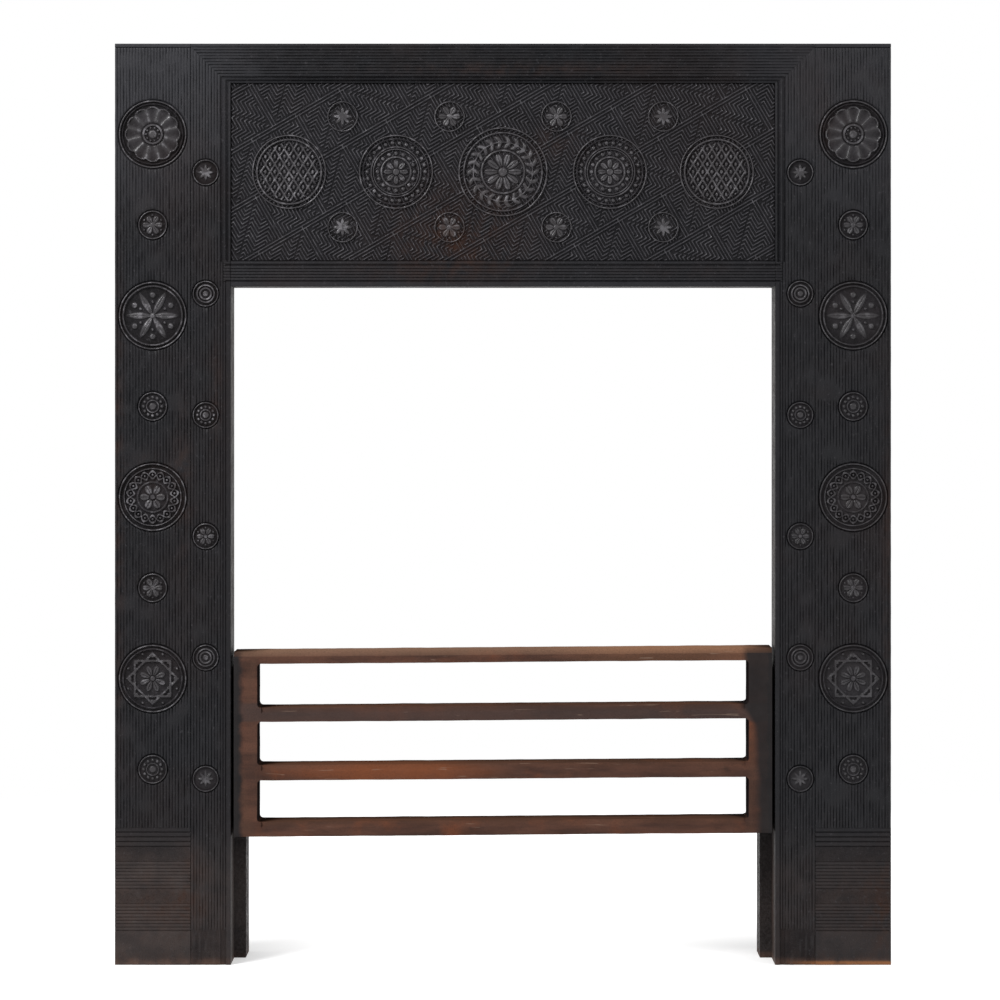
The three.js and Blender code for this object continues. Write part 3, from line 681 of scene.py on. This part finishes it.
def fret_field():
    side = OPENING - FIELD_INSET
    low, high = FIELD_LOW + FIELD_INSET, FIELD_HIGH - FIELD_INSET
    middle = (low + high) / 2
    samples, height = fret_heights(int(math.hypot(side, (high - low) / 2) / FRET) + 3)
    ga, gb = np.meshgrid(samples * FRET, samples * FRET, indexing="ij")
    cos, sin = math.cos(FRET_TURN), math.sin(FRET_TURN)
    x, z = ga * cos - gb * sin, middle + ga * sin + gb * cos
    depth = FIELD_FLOOR - height * (1.35 + 0.06 * waver(x, z, 9, 60, 5.0))
    depth = depth + 0.06 * waver(x, z, 15, 120) + 0.04 * waver(x, z, 3, 9, 2.0)
    spare = 2 * FRET
    inside = (np.abs(x) < side + spare) & (np.abs(z - middle) < (high - low) / 2 + spare)
    index = np.arange(inside.size).reshape(inside.shape)
    quads = np.stack([index[:-1, :-1], index[1:, :-1], index[1:, 1:], index[:-1, 1:]], -1).reshape(-1, 4)
    quads = quads[inside.ravel()[quads].all(1)]
    used, quads = np.unique(quads, return_inverse=True)
    layers = {"crest": height.ravel()[used], "stain": stain_at(x, z).ravel()[used]}
    obj = new_object("frieze_fret", place(x, depth, z)[used], quads.reshape(-1, 4).tolist(), layers)
    bm = bmesh.new()
    bm.from_mesh(obj.data)
    for axis, limit in (((1, 0, 0), side), ((-1, 0, 0), side), ((0, 0, 1), high), ((0, 0, -1), -low)):
        slice_mesh(bm, Vector(axis) * (limit / 1000.0), Vector(axis), clear=True)
    rim = [e for e in bm.edges if e.is_boundary]
    for v in bmesh.ops.extrude_edge_only(bm, edges=rim)["geom"]:
        if isinstance(v, bmesh.types.BMVert):
            v.co.y = (PANEL_CUT + FACE_Y) / 1000.0
    bmesh.ops.holes_fill(bm, edges=[e for e in bm.edges if e.is_boundary], sides=0)
    bmesh.ops.recalc_face_normals(bm, faces=bm.faces)
    bm.to_mesh(obj.data)
    bm.free()
    shade(obj, 35)
    return obj


FRIEZE_MIDDLE = (FIELD_LOW + FIELD_HIGH) / 2


def on_frieze(size, rises, motifs):
    """Places on both sides of the frieze, from (x, motif) and their rises above its middle."""
    return [(side * x, FRIEZE_MIDDLE + rise, size, motif)
            for side in (-1, 1) for x, motif in motifs for rise in rises]


FRIEZE_PLACES = [
    (0, FRIEZE_MIDDLE, FRIEZE_CENTRE, laurel), *on_frieze(FRIEZE_LARGE, [0], [(112, beaded), (224, diaper)]),
    *on_frieze(FRIEZE_SMALL, [-58, 58], [(56, small_flower), (168, small_star)])]


# ---------------- cast bodies from the solids
def eased(obj, width, method):
    """Rounds an object's edges, by a width in millimetres."""
    ease = obj.modifiers.new("ease", "BEVEL")
    ease.width, ease.segments, ease.limit_method = width / 1000.0, 2, method
    return ease


def casting(name, node, cut=None, bevel=0.8):
    """A copy of a solid, with its plain face ornament cut off at a depth and its edges eased."""
    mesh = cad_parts[node].data.copy()
    mesh.name = name
    obj = linked(name, mesh)
    bm = bmesh.new()
    bm.from_mesh(mesh)
    bmesh.ops.remove_doubles(bm, verts=bm.verts, dist=2e-6)
    plane = None
    if cut is not None:
        plane = (cut + FACE_Y) / 1000.0
        slice_mesh(bm, (0, plane, 0), (0, -1, 0), clear=True)
        bmesh.ops.triangle_fill(bm, use_beauty=True, use_dissolve=False, normal=(0, -1, 0),
                                edges=[e for e in bm.edges if e.is_boundary])
    bmesh.ops.recalc_face_normals(bm, faces=bm.faces)
    bmesh.ops.dissolve_limit(bm, angle_limit=radians(0.6), verts=bm.verts, edges=bm.edges)
    weight = bm.edges.layers.float.new("bevel_weight_edge")
    for e in bm.edges:
        at_cut = plane is not None and all(abs(v.co.y - plane) < 1e-5 for v in e.verts)
        sharp = e.is_manifold and e.calc_face_angle(0) > radians(30)
        e[weight] = 1.0 if sharp and not at_cut else 0.0
    bm.to_mesh(mesh)
    bm.free()
    eased(obj, bevel, "WEIGHT")
    shade(obj, 40)
    return obj


# The lower and upper edges of the grate's bars, how far each lies from its level, even place, and
# how much the whole grate rises to the right for each millimetre.
BAR_EDGES = np.array([136.5, 149.0, 196.8, 209.3, 257.1, 269.6, 317.4, 329.9])
BAR_SHIFTS = np.array([-0.3, 2.1, -1.7, 1.3, -0.7, 1.3, -0.2, 0.0])
GRATE_TILT = 0.0078


def sliced(obj, axis, positions):
    """Adds a row of vertices across the object at each position along an axis."""
    bm = bmesh.new()
    bm.from_mesh(obj.data)
    normal = Vector([1.0 if i == axis else 0.0 for i in range(3)])
    for at in positions:
        slice_mesh(bm, normal * (at / 1000.0), normal, reach=1e-6)
    bm.to_mesh(obj.data)
    bm.free()


def worn_grate():
    base = casting("grate_casting_base", "grate_front", bevel=1.1)
    graph = bpy.context.evaluated_depsgraph_get()
    mesh = bpy.data.meshes.new_from_object(base.evaluated_get(graph))
    mesh.name = "grate_casting"
    bpy.data.objects.remove(base)
    obj = linked("grate_casting", mesh)
    sliced(obj, 0, np.arange(-279.0, 280.0, 6.2))
    sliced(obj, 2, np.arange(140.0, 329.0, 6.3))
    sliced(obj, 1, FACE_Y + np.array([9.0, 16.0, 23.0, 30.0, 37.0]))
    co = np.zeros(len(mesh.vertices) * 3)
    mesh.vertices.foreach_get("co", co)
    co = co.reshape(-1, 3)
    x, y, z = co.T * 1000.0
    depth = y - FACE_Y
    shift = np.stack([0.10 * waver(z, depth, 20, 90, 1.0), 0.15 * waver(x, z, 20, 90, 2.0),
                      0.10 * waver(x, depth, 20, 90, 3.0) + 0.04 * waver(x, depth, 5, 15, 4.0)], -1)
    shift[:, 1] = np.maximum(shift[:, 1], 0.0)
    shift[:, 0] *= np.abs(x) < 278.0
    # The hooks stay where the solid has them, over their seats.
    hooks = smooth(30, 43, depth) * smooth(255, 262, np.abs(x)) * (1 - smooth(295, 320, z))
    uneven = np.interp(z, BAR_EDGES, BAR_EDGES + BAR_SHIFTS) - z + GRATE_TILT * x
    shift[:, 2] += uneven * (1 - hooks)
    mesh.vertices.foreach_set("co", (co + shift / 1000.0).ravel())
    mesh.update()
    shade(obj, 35)
    return obj


# ---------------- materials
# Colours as a screen shows them, from 0 to 255.
# The first colour is a paler grey painted at the head's ends as light; dust and scuffs are the iron's own.
TOP_CORNER_LIGHT, DUST, SCUFF = (60, 60, 64), (73, 64, 61), (96, 74, 64)
BROWN, BARE_RUST = (58, 38, 29), (150, 100, 64)
# Dark pits, then bright specks on the grain and bright spots on the crests, which are painted glints.
PIT, GRAIN_GLINT, BRIGHT_GRAIN_GLINT, PAINTED_GLINT = (10, 10, 10), (64, 62, 65), (84, 82, 86), (120, 118, 122)
DARK_RUST, RUST, RED_RUST, ORANGE_RUST = (64, 44, 37), (92, 62, 50), (112, 64, 42), (124, 70, 42)
# RUN_RUST is the iron's own; the three after it are paler rusts painted as light on upper faces and as a
# highlight along an edge.
RUN_RUST, UPPER_RUST_LIGHT, TOP_RUST_LIGHT, EDGE_RUST_HIGHLIGHT = (84, 60, 48), (112, 84, 68), (146, 114, 94), (190, 134, 96)
# The third colour is a painted shadow in the grate's corners.
SCALE, BAR_BLACK, CORNER_SHADOW, TOP_BLACK = (48, 38, 34), (62, 52, 50), (34, 28, 26), (48, 36, 32)
# The first colour is the black at the grate's ends, also painted as shade on its side faces.
END_BLACK_AND_SIDE_SHADE, RUST_PIT, SCRATCH = (32, 30, 31), (40, 30, 26), (150, 128, 112)
STEEL_DARK, STEEL_LIGHT, STEEL_PIT = (50, 45, 42), (76, 62, 52), (34, 30, 29)


def linear(*srgb):
    def one(c):
        c = c / 255.0
        return c / 12.92 if c <= 0.04045 else ((c + 0.055) / 1.055) ** 2.4
    return tuple(one(c) for c in srgb) + (1.0,)


class Graph:
    """The nodes of a material or of the world."""

    def __init__(self, owner):
        owner.use_nodes = True
        self.owner, self.tree = owner, owner.node_tree
        self.tree.nodes.clear()

    def node(self, kind, inputs=None, **settings):
        made = self.tree.nodes.new("ShaderNode" + kind)
        for key, value in settings.items():
            setattr(made, key, value)
        for key, value in (inputs or {}).items():
            self.feed(made.inputs[key], value)
        return made

    def feed(self, socket, value):
        if isinstance(value, bpy.types.NodeSocket):
            self.tree.links.new(value, socket)
        elif value is not None:
            socket.default_value = value

    def ramp(self, value, low, high, out_low=0.0, out_high=1.0):
        """One number at low and another at high, with a soft rise or fall between them."""
        inputs = {"Value": value, "From Min": low, "From Max": high, "To Min": out_low, "To Max": out_high}
        return self.node("MapRange", inputs, interpolation_type="SMOOTHSTEP").outputs[0]

    def math(self, operation, a, b=None, clamp=False):
        return self.node("Math", {0: a, 1: b}, operation=operation, use_clamp=clamp).outputs[0]

    def times(self, a, b):
        return self.math("MULTIPLY", a, b)

    def plus(self, a, b, clamp=False):
        return self.math("ADD", a, b, clamp)

    def square(self, a):
        return self.math("POWER", a, 2.0)

    def mix(self, factor, a, b):
        return self.node("Mix", {0: factor, 6: a, 7: b}, data_type="RGBA").outputs[2]

    def parts(self, vector):
        return tuple(self.node("SeparateXYZ", {0: vector}).outputs)

    def seen_directly(self):
        """1 for rays that show the background itself: from the camera, a gloss or through glass."""
        path = self.node("LightPath").outputs
        seen = self.math("MAXIMUM", path["Is Camera Ray"], path["Is Glossy Ray"])
        return self.math("MAXIMUM", seen, path["Is Transmission Ray"])


class Surface(Graph):
    """A material's nodes: the place of each point on the object, in metres, its normal, and the
    colour so far."""

    def __init__(self, name):
        super().__init__(bpy.data.materials.new(name))
        coordinates = self.node("TexCoord").outputs
        self.place, self.normal = coordinates["Object"], coordinates["Normal"]
        self.x, self.y, self.z = self.parts(self.place)
        self.color = None

    def noise(self, scale, detail=5.0, rough=0.6, stretch=None, distortion=0.0):
        vector = self.place
        if stretch:
            vector = self.node("Mapping", {"Vector": vector, "Scale": stretch}).outputs[0]
        inputs = {"Vector": vector, "Scale": scale, "Detail": detail, "Roughness": rough,
                  "Distortion": distortion}
        return self.node("TexNoise", inputs).outputs[0]

    def attribute(self, name):
        return self.node("Attribute", attribute_name=name).outputs["Fac"]

    def base(self, factor, low, high):
        """Begins with a mixture of two screen colours."""
        self.color = self.mix(factor, linear(*low), linear(*high))

    def coat(self, paint, factor):
        """Lays a screen colour over what is there."""
        self.color = self.mix(factor, self.color, linear(*paint))

    def bump(self, height, strength, distance, normal=None):
        inputs = {"Height": height, "Strength": strength, "Distance": distance, "Normal": normal}
        return self.node("Bump", inputs).outputs[0]

    def finish(self, roughness, normal, specular=0.5, metallic=0.0, plain_specular=0.5):
        inputs = {"Base Color": self.color, "Roughness": roughness, "Normal": normal,
                  "Specular IOR Level": plain_specular, "Metallic": metallic}
        shader = self.node("BsdfPrincipled", inputs)
        self.feed(shader.inputs["Specular IOR Level"], specular)
        self.node("OutputMaterial", {"Surface": shader.outputs[0]})
        return self.owner


def paint_top_corner_light(g):
    """A paler grey painted at both ends of the head as a pool of light, by how far left its middle lies and
    its strength.
    """
    for aside, strength in ((0.40, 0.42), (-0.38, 0.30)):
        reach = g.plus(g.square(g.plus(g.x, aside)), g.square(g.plus(g.z, -0.95)))
        g.coat(TOP_CORNER_LIGHT, g.times(g.ramp(reach, 0.035, 0.002), strength))


def dust_feet(g, cloud):
    """Brown dust on the foot blocks, more of it on the left."""
    dust = g.times(g.ramp(g.z, 0.09, 0.15, 1.0, 0.0), g.ramp(cloud, 0.30, 0.70, 0.45, 1.0))
    dust = g.times(dust, g.ramp(g.x, -0.2, 0.2, 0.78, 0.36))
    dust = g.times(dust, g.ramp(g.math("ABSOLUTE", g.x), 0.322, 0.330, 0.6, 1.0))
    g.coat(DUST, dust)


def scuff_edge(g, cloud):
    """A scuffed lower edge, bare and rusty under the right foot."""
    scuff = g.times(g.ramp(g.z, 0.010, 0.001), g.ramp(cloud, 0.35, 0.60, 0.15, 0.75))
    bare = g.times(g.ramp(g.z, 0.0055, 0.0025), g.ramp(g.x, 0.29, 0.34))
    bare = g.times(bare, g.ramp(cloud, 0.30, 0.55, 0.35, 0.95))
    g.coat(SCUFF, scuff)
    g.coat(BARE_RUST, bare)


def black_iron(name, low=(21, 21, 23), high=(31, 31, 34), attributes=True, warm=0.12, gloss=0.46,
               shine=(0.05, 0.15), fading=False, top_corner_light=False, light_falloff=0.0, mottle=0.35, painted_glints=0.0):
    """Blacked cast iron: a fine sand-cast grain with painted glints, lighter and smoother on the crests,
    where the blacking is worn and a highlight is painted, darker in the hollows as painted shade, and
    rust-brown where the black has worn thin."""
    g = Surface(name)
    patches = g.noise(6.0)
    cloud = g.noise(45.0)
    grain = g.noise(900.0, 3.0)
    pits = g.noise(260.0, 4.0, 0.65)
    crest = g.attribute("crest") if attributes else g.ramp(g.noise(320.0, 5.0, 0.7), 0.30, 0.70, 0.15, 0.95)
    # Painted light: towards the lower right, away from the lamp, the crests' painted highlight and the
    # hollows' painted shade fade to an even tone.
    if light_falloff:
        aside = g.plus(g.z, g.times(g.x, -0.5))
        falloff_pull = g.times(g.math("SUBTRACT", 0.62, crest), g.ramp(aside, 0.20, 0.90, light_falloff, 0.0))
        crest = g.plus(crest, falloff_pull)
    mottled = g.ramp(cloud, 0.3, 0.7, 0.175 - mottle / 2, 0.175 + mottle / 2)
    # Painted light: the crest height lightens the colour, partly worn blacking on the crests and partly a
    # painted highlight there, with painted shade in the hollows.
    g.base(g.plus(g.times(crest, 0.75), mottled, clamp=True), low, high)
    if fading:
        halfway = [(a + b) / 2 for a, b in zip(low, high)]
        g.coat(halfway, g.ramp(g.noise(9.0, 4.0), 0.36, 0.60, 0.6, 0.0))
    # Painted light: a paler grey pool at both ends of the head.
    if top_corner_light:
        paint_top_corner_light(g)
    warmth = g.times(g.ramp(patches, 0.45, 0.72), warm)
    if attributes:
        stain = g.times(g.attribute("stain"), g.ramp(cloud, 0.30, 0.62, 0.45, 1.0))
        warmth = g.plus(warmth, g.times(stain, 0.75), clamp=True)
    dust_feet(g, cloud)
    g.coat(BROWN, warmth)
    scuff_edge(g, cloud)
    g.coat(PIT, g.ramp(grain, 0.44, 0.34, 0.0, 0.45))
    # Bright specks on the sand-cast grain are painted glints.
    g.coat(GRAIN_GLINT, g.ramp(grain, 0.58, 0.70, 0.0, 0.40))
    g.coat(BRIGHT_GRAIN_GLINT, g.ramp(pits, 0.58, 0.72, 0.0, 0.30))
    rough = g.ramp(cloud, 0.3, 0.7, gloss, gloss + 0.16)
    if painted_glints:
        # Painted glints: bright spots on the high crests, more of them towards the left near the lamp, with
        # a smoother gloss.
        glint_spots = g.times(g.ramp(g.noise(150.0, 3.0), 0.50, 0.62), g.ramp(crest, 0.55, 0.95))
        glint_spots = g.times(glint_spots, g.ramp(g.x, 0.15, -0.20, 0.60, 1.0))
        g.coat(PAINTED_GLINT, g.times(glint_spots, painted_glints))
        rough = g.math("SUBTRACT", rough, g.times(glint_spots, 0.12))
    rough = g.plus(g.plus(rough, g.times(crest, -0.08)), g.times(warmth, 0.15), clamp=True)
    pitted, pit_depth = (0.35, 0.0007) if attributes else (0.6, 0.0014)
    normal = g.bump(pits, pitted, pit_depth, g.bump(grain, 0.55, 0.00035))
    shine_over = g.ramp(crest, 0.3, 1.0, *shine)
    return g.finish(rough, normal, specular=shine_over, plain_specular=sum(shine) / 2)


def rust_over(g, patches, cloud, streak):
    """Streaky brown rust over black, redder in patches and orange along the second bar."""
    g.base(g.ramp(streak, 0.35, 0.68), DARK_RUST, RUST)
    g.coat(RED_RUST, g.ramp(patches, 0.50, 0.72, 0.0, 0.8))
    g.coat(SCALE, g.ramp(cloud, 0.60, 0.78, 0.0, 0.55))
    fall = g.noise(90.0, 4.0, stretch=(1.0, 1.0, 0.15))
    upright = g.ramp(g.math("ABSOLUTE", g.x), 0.256, 0.260)
    g.coat(RUN_RUST, g.times(upright, g.ramp(fall, 0.40, 0.62, 0.0, 0.4)))
    far = g.square(g.times(g.plus(g.x, 0.12), 8.0))
    above = g.square(g.times(g.plus(g.z, -0.203), 75.0))
    orange = g.plus(g.plus(far, above), g.times(streak, 1.2))
    g.coat(ORANGE_RUST, g.ramp(orange, 1.9, 0.5, 0.0, 0.8))


def rust_iron(name):
    """Fire-burnt cast iron: brown rust over black, scaled and pitted, with black left at the ends; its paler
    upper faces, black side faces and dark opening corners are painted light and shade.
    """
    g = Surface(name)
    patches = g.noise(14.0)
    cloud = g.noise(70.0, 6.0, 0.62)
    streak = g.noise(60.0, stretch=(0.18, 1.0, 1.0))
    grain = g.noise(700.0, 4.0, 0.65)
    to_side, to_back, to_top = g.parts(g.normal)
    across = g.math("ABSOLUTE", g.x)
    rust_over(g, patches, cloud, streak)
    # Painted light: paler rust on the bars' upper sides where light falls from above, most of all on the top
    # bar, and a painted highlight along its right front edge.
    upper = g.ramp(to_top, 0.50, 0.95)
    g.coat(UPPER_RUST_LIGHT, g.times(upper, 0.35))
    top = g.times(upper, g.ramp(g.z, 0.315, 0.326))
    g.coat(TOP_RUST_LIGHT, g.times(top, 0.75))
    edge_highlight = g.times(g.ramp(g.z, 0.311, 0.317), g.ramp(g.x, 0.02, 0.15, 0.0, 0.32))
    g.coat(EDGE_RUST_HIGHLIGHT, g.times(edge_highlight, g.ramp(upper, 0.0, 1.0, 0.35, 1.0)))
    # Blacker on the third bar's front and at both ends, with a painted shadow on the bars' upper sides in
    # the openings' corners.
    third = g.times(g.ramp(g.z, 0.253, 0.257), g.ramp(g.z, 0.276, 0.272))
    g.coat(BAR_BLACK, g.times(third, g.ramp(upper, 0.0, 1.0, 0.7, 0.05)))
    corner = g.plus(g.times(across, -1.0), g.times(g.y, -0.62))
    corner_shadow = g.times(g.ramp(corner, -0.229, -0.239, 0.0, 0.85), upper)
    g.coat(CORNER_SHADOW, g.times(corner_shadow, g.ramp(g.z, 0.300, 0.290)))
    left_end = g.ramp(g.x, -0.240, -0.278, 0.0, 0.70)
    right_end = g.ramp(g.x, 0.248, 0.282, 0.0, 0.90)
    g.coat(TOP_BLACK, g.times(g.math("MAXIMUM", left_end, right_end), top))
    end = g.ramp(g.plus(across, g.times(cloud, 0.012)), 0.2765, 0.284)
    burnt = g.plus(g.times(patches, 0.020), g.ramp(g.z, 0.250, 0.275, 0.0, 0.016))
    right = g.ramp(g.plus(g.x, burnt), 0.272, 0.282, 0.0, 0.95)
    black = g.times(g.math("MAXIMUM", end, right), g.math("SUBTRACT", 1.0, g.times(top, 0.85)))
    # Faces that look sideways, such as the openings' side walls, are painted black as shade.
    sides = g.ramp(g.math("ABSOLUTE", to_side), 0.5, 0.9, 0.0, 0.95)
    g.coat(END_BLACK_AND_SIDE_SHADE, g.math("MAXIMUM", black, sides))
    g.coat(RUST_PIT, g.ramp(grain, 0.40, 0.75, 0.0, 0.35))
    scratch = g.noise(150.0, 2.0, 0.5, stretch=(0.16, 1.0, 2.2), distortion=0.8)
    on_bars = g.ramp(across, 0.250, 0.245, 0.0, 0.3)
    g.coat(SCRATCH, g.times(g.ramp(scratch, 0.68, 0.72), on_bars))
    rough = g.ramp(cloud, 0.3, 0.7, 0.62, 0.82)
    normal = g.bump(cloud, 0.35, 0.0009, g.bump(grain, 0.5, 0.0004))
    front = g.ramp(g.times(to_back, -1.0), 0.5, 0.95, 0.0, 0.14)
    return g.finish(rough, normal, specular=front, plain_specular=0.07)


def dark_steel(name):
    """Square-headed iron fasteners, blacked over with the castings and browned in spots."""
    g = Surface(name)
    cloud = g.noise(160.0)
    grain = g.noise(1200.0, 3.0)
    g.base(g.ramp(cloud, 0.35, 0.65), STEEL_DARK, STEEL_LIGHT)
    g.coat(STEEL_PIT, g.ramp(grain, 0.4, 0.7, 0.0, 0.4))
    rough = g.ramp(cloud, 0.3, 0.7, 0.42, 0.66)
    return g.finish(rough, g.bump(grain, 0.4, 0.0003), metallic=0.35)


IRON = black_iron("blacked_cast_iron", fading=True, top_corner_light=True)
HEAD_IRON = black_iron("blacked_cast_iron_head", low=(11, 11, 13), high=(29, 30, 33), top_corner_light=True)
# The lintel takes a lighter copy of the iron: painted light, as from the floor below.
LINTEL_IRON = black_iron("blacked_cast_iron_lintel", low=(22, 22, 24), high=(37, 37, 40))
# The fret and the roundels take the widest range from hollow to crest: the most painted shade in the hollows
# and painted highlight on the crests.
RELIEF_IRON = black_iron(
    "blacked_cast_iron_relief", low=(10, 10, 11), high=(76, 75, 79), gloss=0.30, shine=(0.03, 0.45),
    mottle=0.08, painted_glints=0.6)
ROUNDEL_IRON = black_iron(
    "blacked_cast_iron_roundel", low=(13, 13, 13), high=(55, 53, 56), gloss=0.33, shine=(0.03, 0.36),
    light_falloff=0.65, mottle=0.2, painted_glints=0.6)
IRON_BACK = black_iron(
    "blacked_cast_iron_back", low=(27, 26, 26), high=(54, 50, 48), attributes=False, warm=0.4)
# A lighter copy of the back iron for the legs: painted light on fronts that stand in the pilasters' shade.
LEG_IRON_PAINTED_LIGHT = black_iron(
    "blacked_cast_iron_leg", low=(36, 35, 36), high=(58, 56, 56), attributes=False, shine=(0.0, 0.10))
GRATE_IRON = rust_iron("burnt_cast_iron")
STEEL = dark_steel("blacked_steel")


def dress(obj, material, body="surround"):
    obj.data.materials.clear()
    obj.data.materials.append(material)
    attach(obj, body)
    return obj


# ---------------- the camera
CAMERA_DISTANCE = 3.4  # metres in front of the face
CAMERA_ASIDE, CAMERA_UP = -0.0031, 0.5917
camera_data = bpy.data.cameras.new("camera")
camera_data.sensor_width = 36.0
camera_data.lens = 116.9
camera_data.shift_y = -0.10
camera_data.clip_end = 100.0
camera = linked("camera", camera_data)
camera.location = (CAMERA_ASIDE, FACE_Y / 1000.0 - CAMERA_DISTANCE, CAMERA_UP)
camera.rotation_euler = (pi / 2, 0, 0)
bpy.context.scene.camera = camera

# ---------------- the pieces
# The angles above which a piece's edges stay sharp, in degrees.
REEDED, CARVED = 45, 50
for side, word in ((-1, "left"), (1, "right")):
    body = casting(word + "_pilaster_casting", word + "_pilaster", cut=SHEET_BACK)
    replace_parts(dress(body, IRON_BACK), word + "_pilaster")
    dress(pilaster_face(side).build(word + "_pilaster_reeding", REEDED), IRON)
    shells = roundels(column(side * PILASTER_X, PILASTER_ROUNDELS))
    dress(shells.build(word + "_pilaster_roundels", CARVED), ROUNDEL_IRON)
    dress(stile_face(side).build(word + "_stile_reeding", REEDED), IRON)
    leg = casting(word + "_leg_casting", word + "_grate_leg", bevel=1.6)
    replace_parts(dress(leg, LEG_IRON_PAINTED_LIGHT), word + "_grate_leg")

portal = casting("portal_casting", "portal_frame", cut=SHEET_BACK)
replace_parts(dress(portal, IRON_BACK), "portal_frame")
dress(head_face().build("head_reeding", REEDED), HEAD_IRON)
dress(lintel_face().build("lintel_reeding", REEDED), LINTEL_IRON)
shells = roundels(column(-STILE_X, STILE_ROUNDELS) + column(STILE_X, STILE_ROUNDELS))
dress(shells.build("stile_roundels", CARVED), ROUNDEL_IRON)

panel = casting("frieze_casting", "frieze_panel", cut=PANEL_CUT)
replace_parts(dress(panel, IRON_BACK), "frieze_panel")
dress(fret_field(), RELIEF_IRON)
dress(roundels(FRIEZE_PLACES).build("frieze_roundels", CARVED), ROUNDEL_IRON)

grate = worn_grate()
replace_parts(dress(grate, GRATE_IRON, "grate"), "grate_front")

for node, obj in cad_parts.items():
    if node.endswith(("_bolt", "_nut")) or node.startswith("frieze_screw"):
        obj.data.materials.clear()
        obj.data.materials.append(STEEL)
        eased(obj, 0.5, "ANGLE").angle_limit = radians(35)

# ---------------- floor, background and light
def white_floor():
    """White paper: it takes soft shadows near the legs and the feet and is plain white far off."""
    g = Surface("studio_floor")
    paper = g.mix(g.noise(30.0, 3.0, 0.55), (0.86, 0.86, 0.86, 1), (0.88, 0.88, 0.88, 1))
    diffuse = g.node("BsdfDiffuse", {"Color": paper})
    seen = g.seen_directly()
    aside = g.math("SUBTRACT", g.math("ABSOLUTE", g.x), 0.33)
    aside = g.math("MAXIMUM", g.times(aside, 2.6), g.times(aside, -1.3))
    from_foot = g.math("SQRT", g.plus(g.square(aside), g.square(g.y)))
    strength = g.times(seen, g.ramp(from_foot, 0.04, 0.26, 0.40, 0.80))
    lift = g.node("Emission", {"Strength": strength})
    near_floor = g.node("AddShader", {0: diffuse.outputs[0], 1: lift.outputs[0]})
    plain = g.node("Emission")
    distance = g.node("VectorMath", {0: g.place}, operation="LENGTH").outputs["Value"]
    away = g.times(g.ramp(distance, 0.9, 1.6), seen)
    blend = g.node("MixShader", {0: away, 1: near_floor.outputs[0], 2: plain.outputs[0]})
    g.node("OutputMaterial", {"Surface": blend.outputs[0]})
    return g.owner


FLOOR_HALF = 6.0  # half of the floor's side
corners = [(x * FLOOR_HALF, y * FLOOR_HALF, 0) for x, y in ((-1, -1), (1, -1), (1, 1), (-1, 1))]
floor = new_object("floor", np.array(corners), [(0, 1, 2, 3)])
floor.data.materials.append(white_floor())

sky = Graph(bpy.data.worlds.new("studio"))
ambient = sky.node("Background", {"Color": (1, 1, 1, 1), "Strength": 0.42})
white = sky.node("Background", {"Color": (1, 1, 1, 1), "Strength": 1.0})
blend = sky.node("MixShader", {0: sky.seen_directly(), 1: ambient.outputs[0], 2: white.outputs[0]})
sky.node("OutputWorld", {"Surface": blend.outputs[0]})
bpy.context.scene.world = sky.owner


def softbox(name, location, target, width, height, power):
    data = bpy.data.lights.new(name, "AREA")
    data.shape, data.size, data.size_y, data.energy = "RECTANGLE", width, height, power
    lamp = linked(name, data)
    lamp.location = location
    lamp.rotation_euler = (Vector(target) - Vector(location)).to_track_quat("-Z", "Y").to_euler()


softbox("key", (-1.45, -1.25, 2.05), (-0.1, 0, 0.7), width=0.7, height=0.8, power=47.0)
softbox("fill", (2.4, -1.7, 1.5), (0, 0, 0.5), width=0.9, height=1.5, power=20.0)

bpy.context.scene.view_settings.view_transform = "Standard"
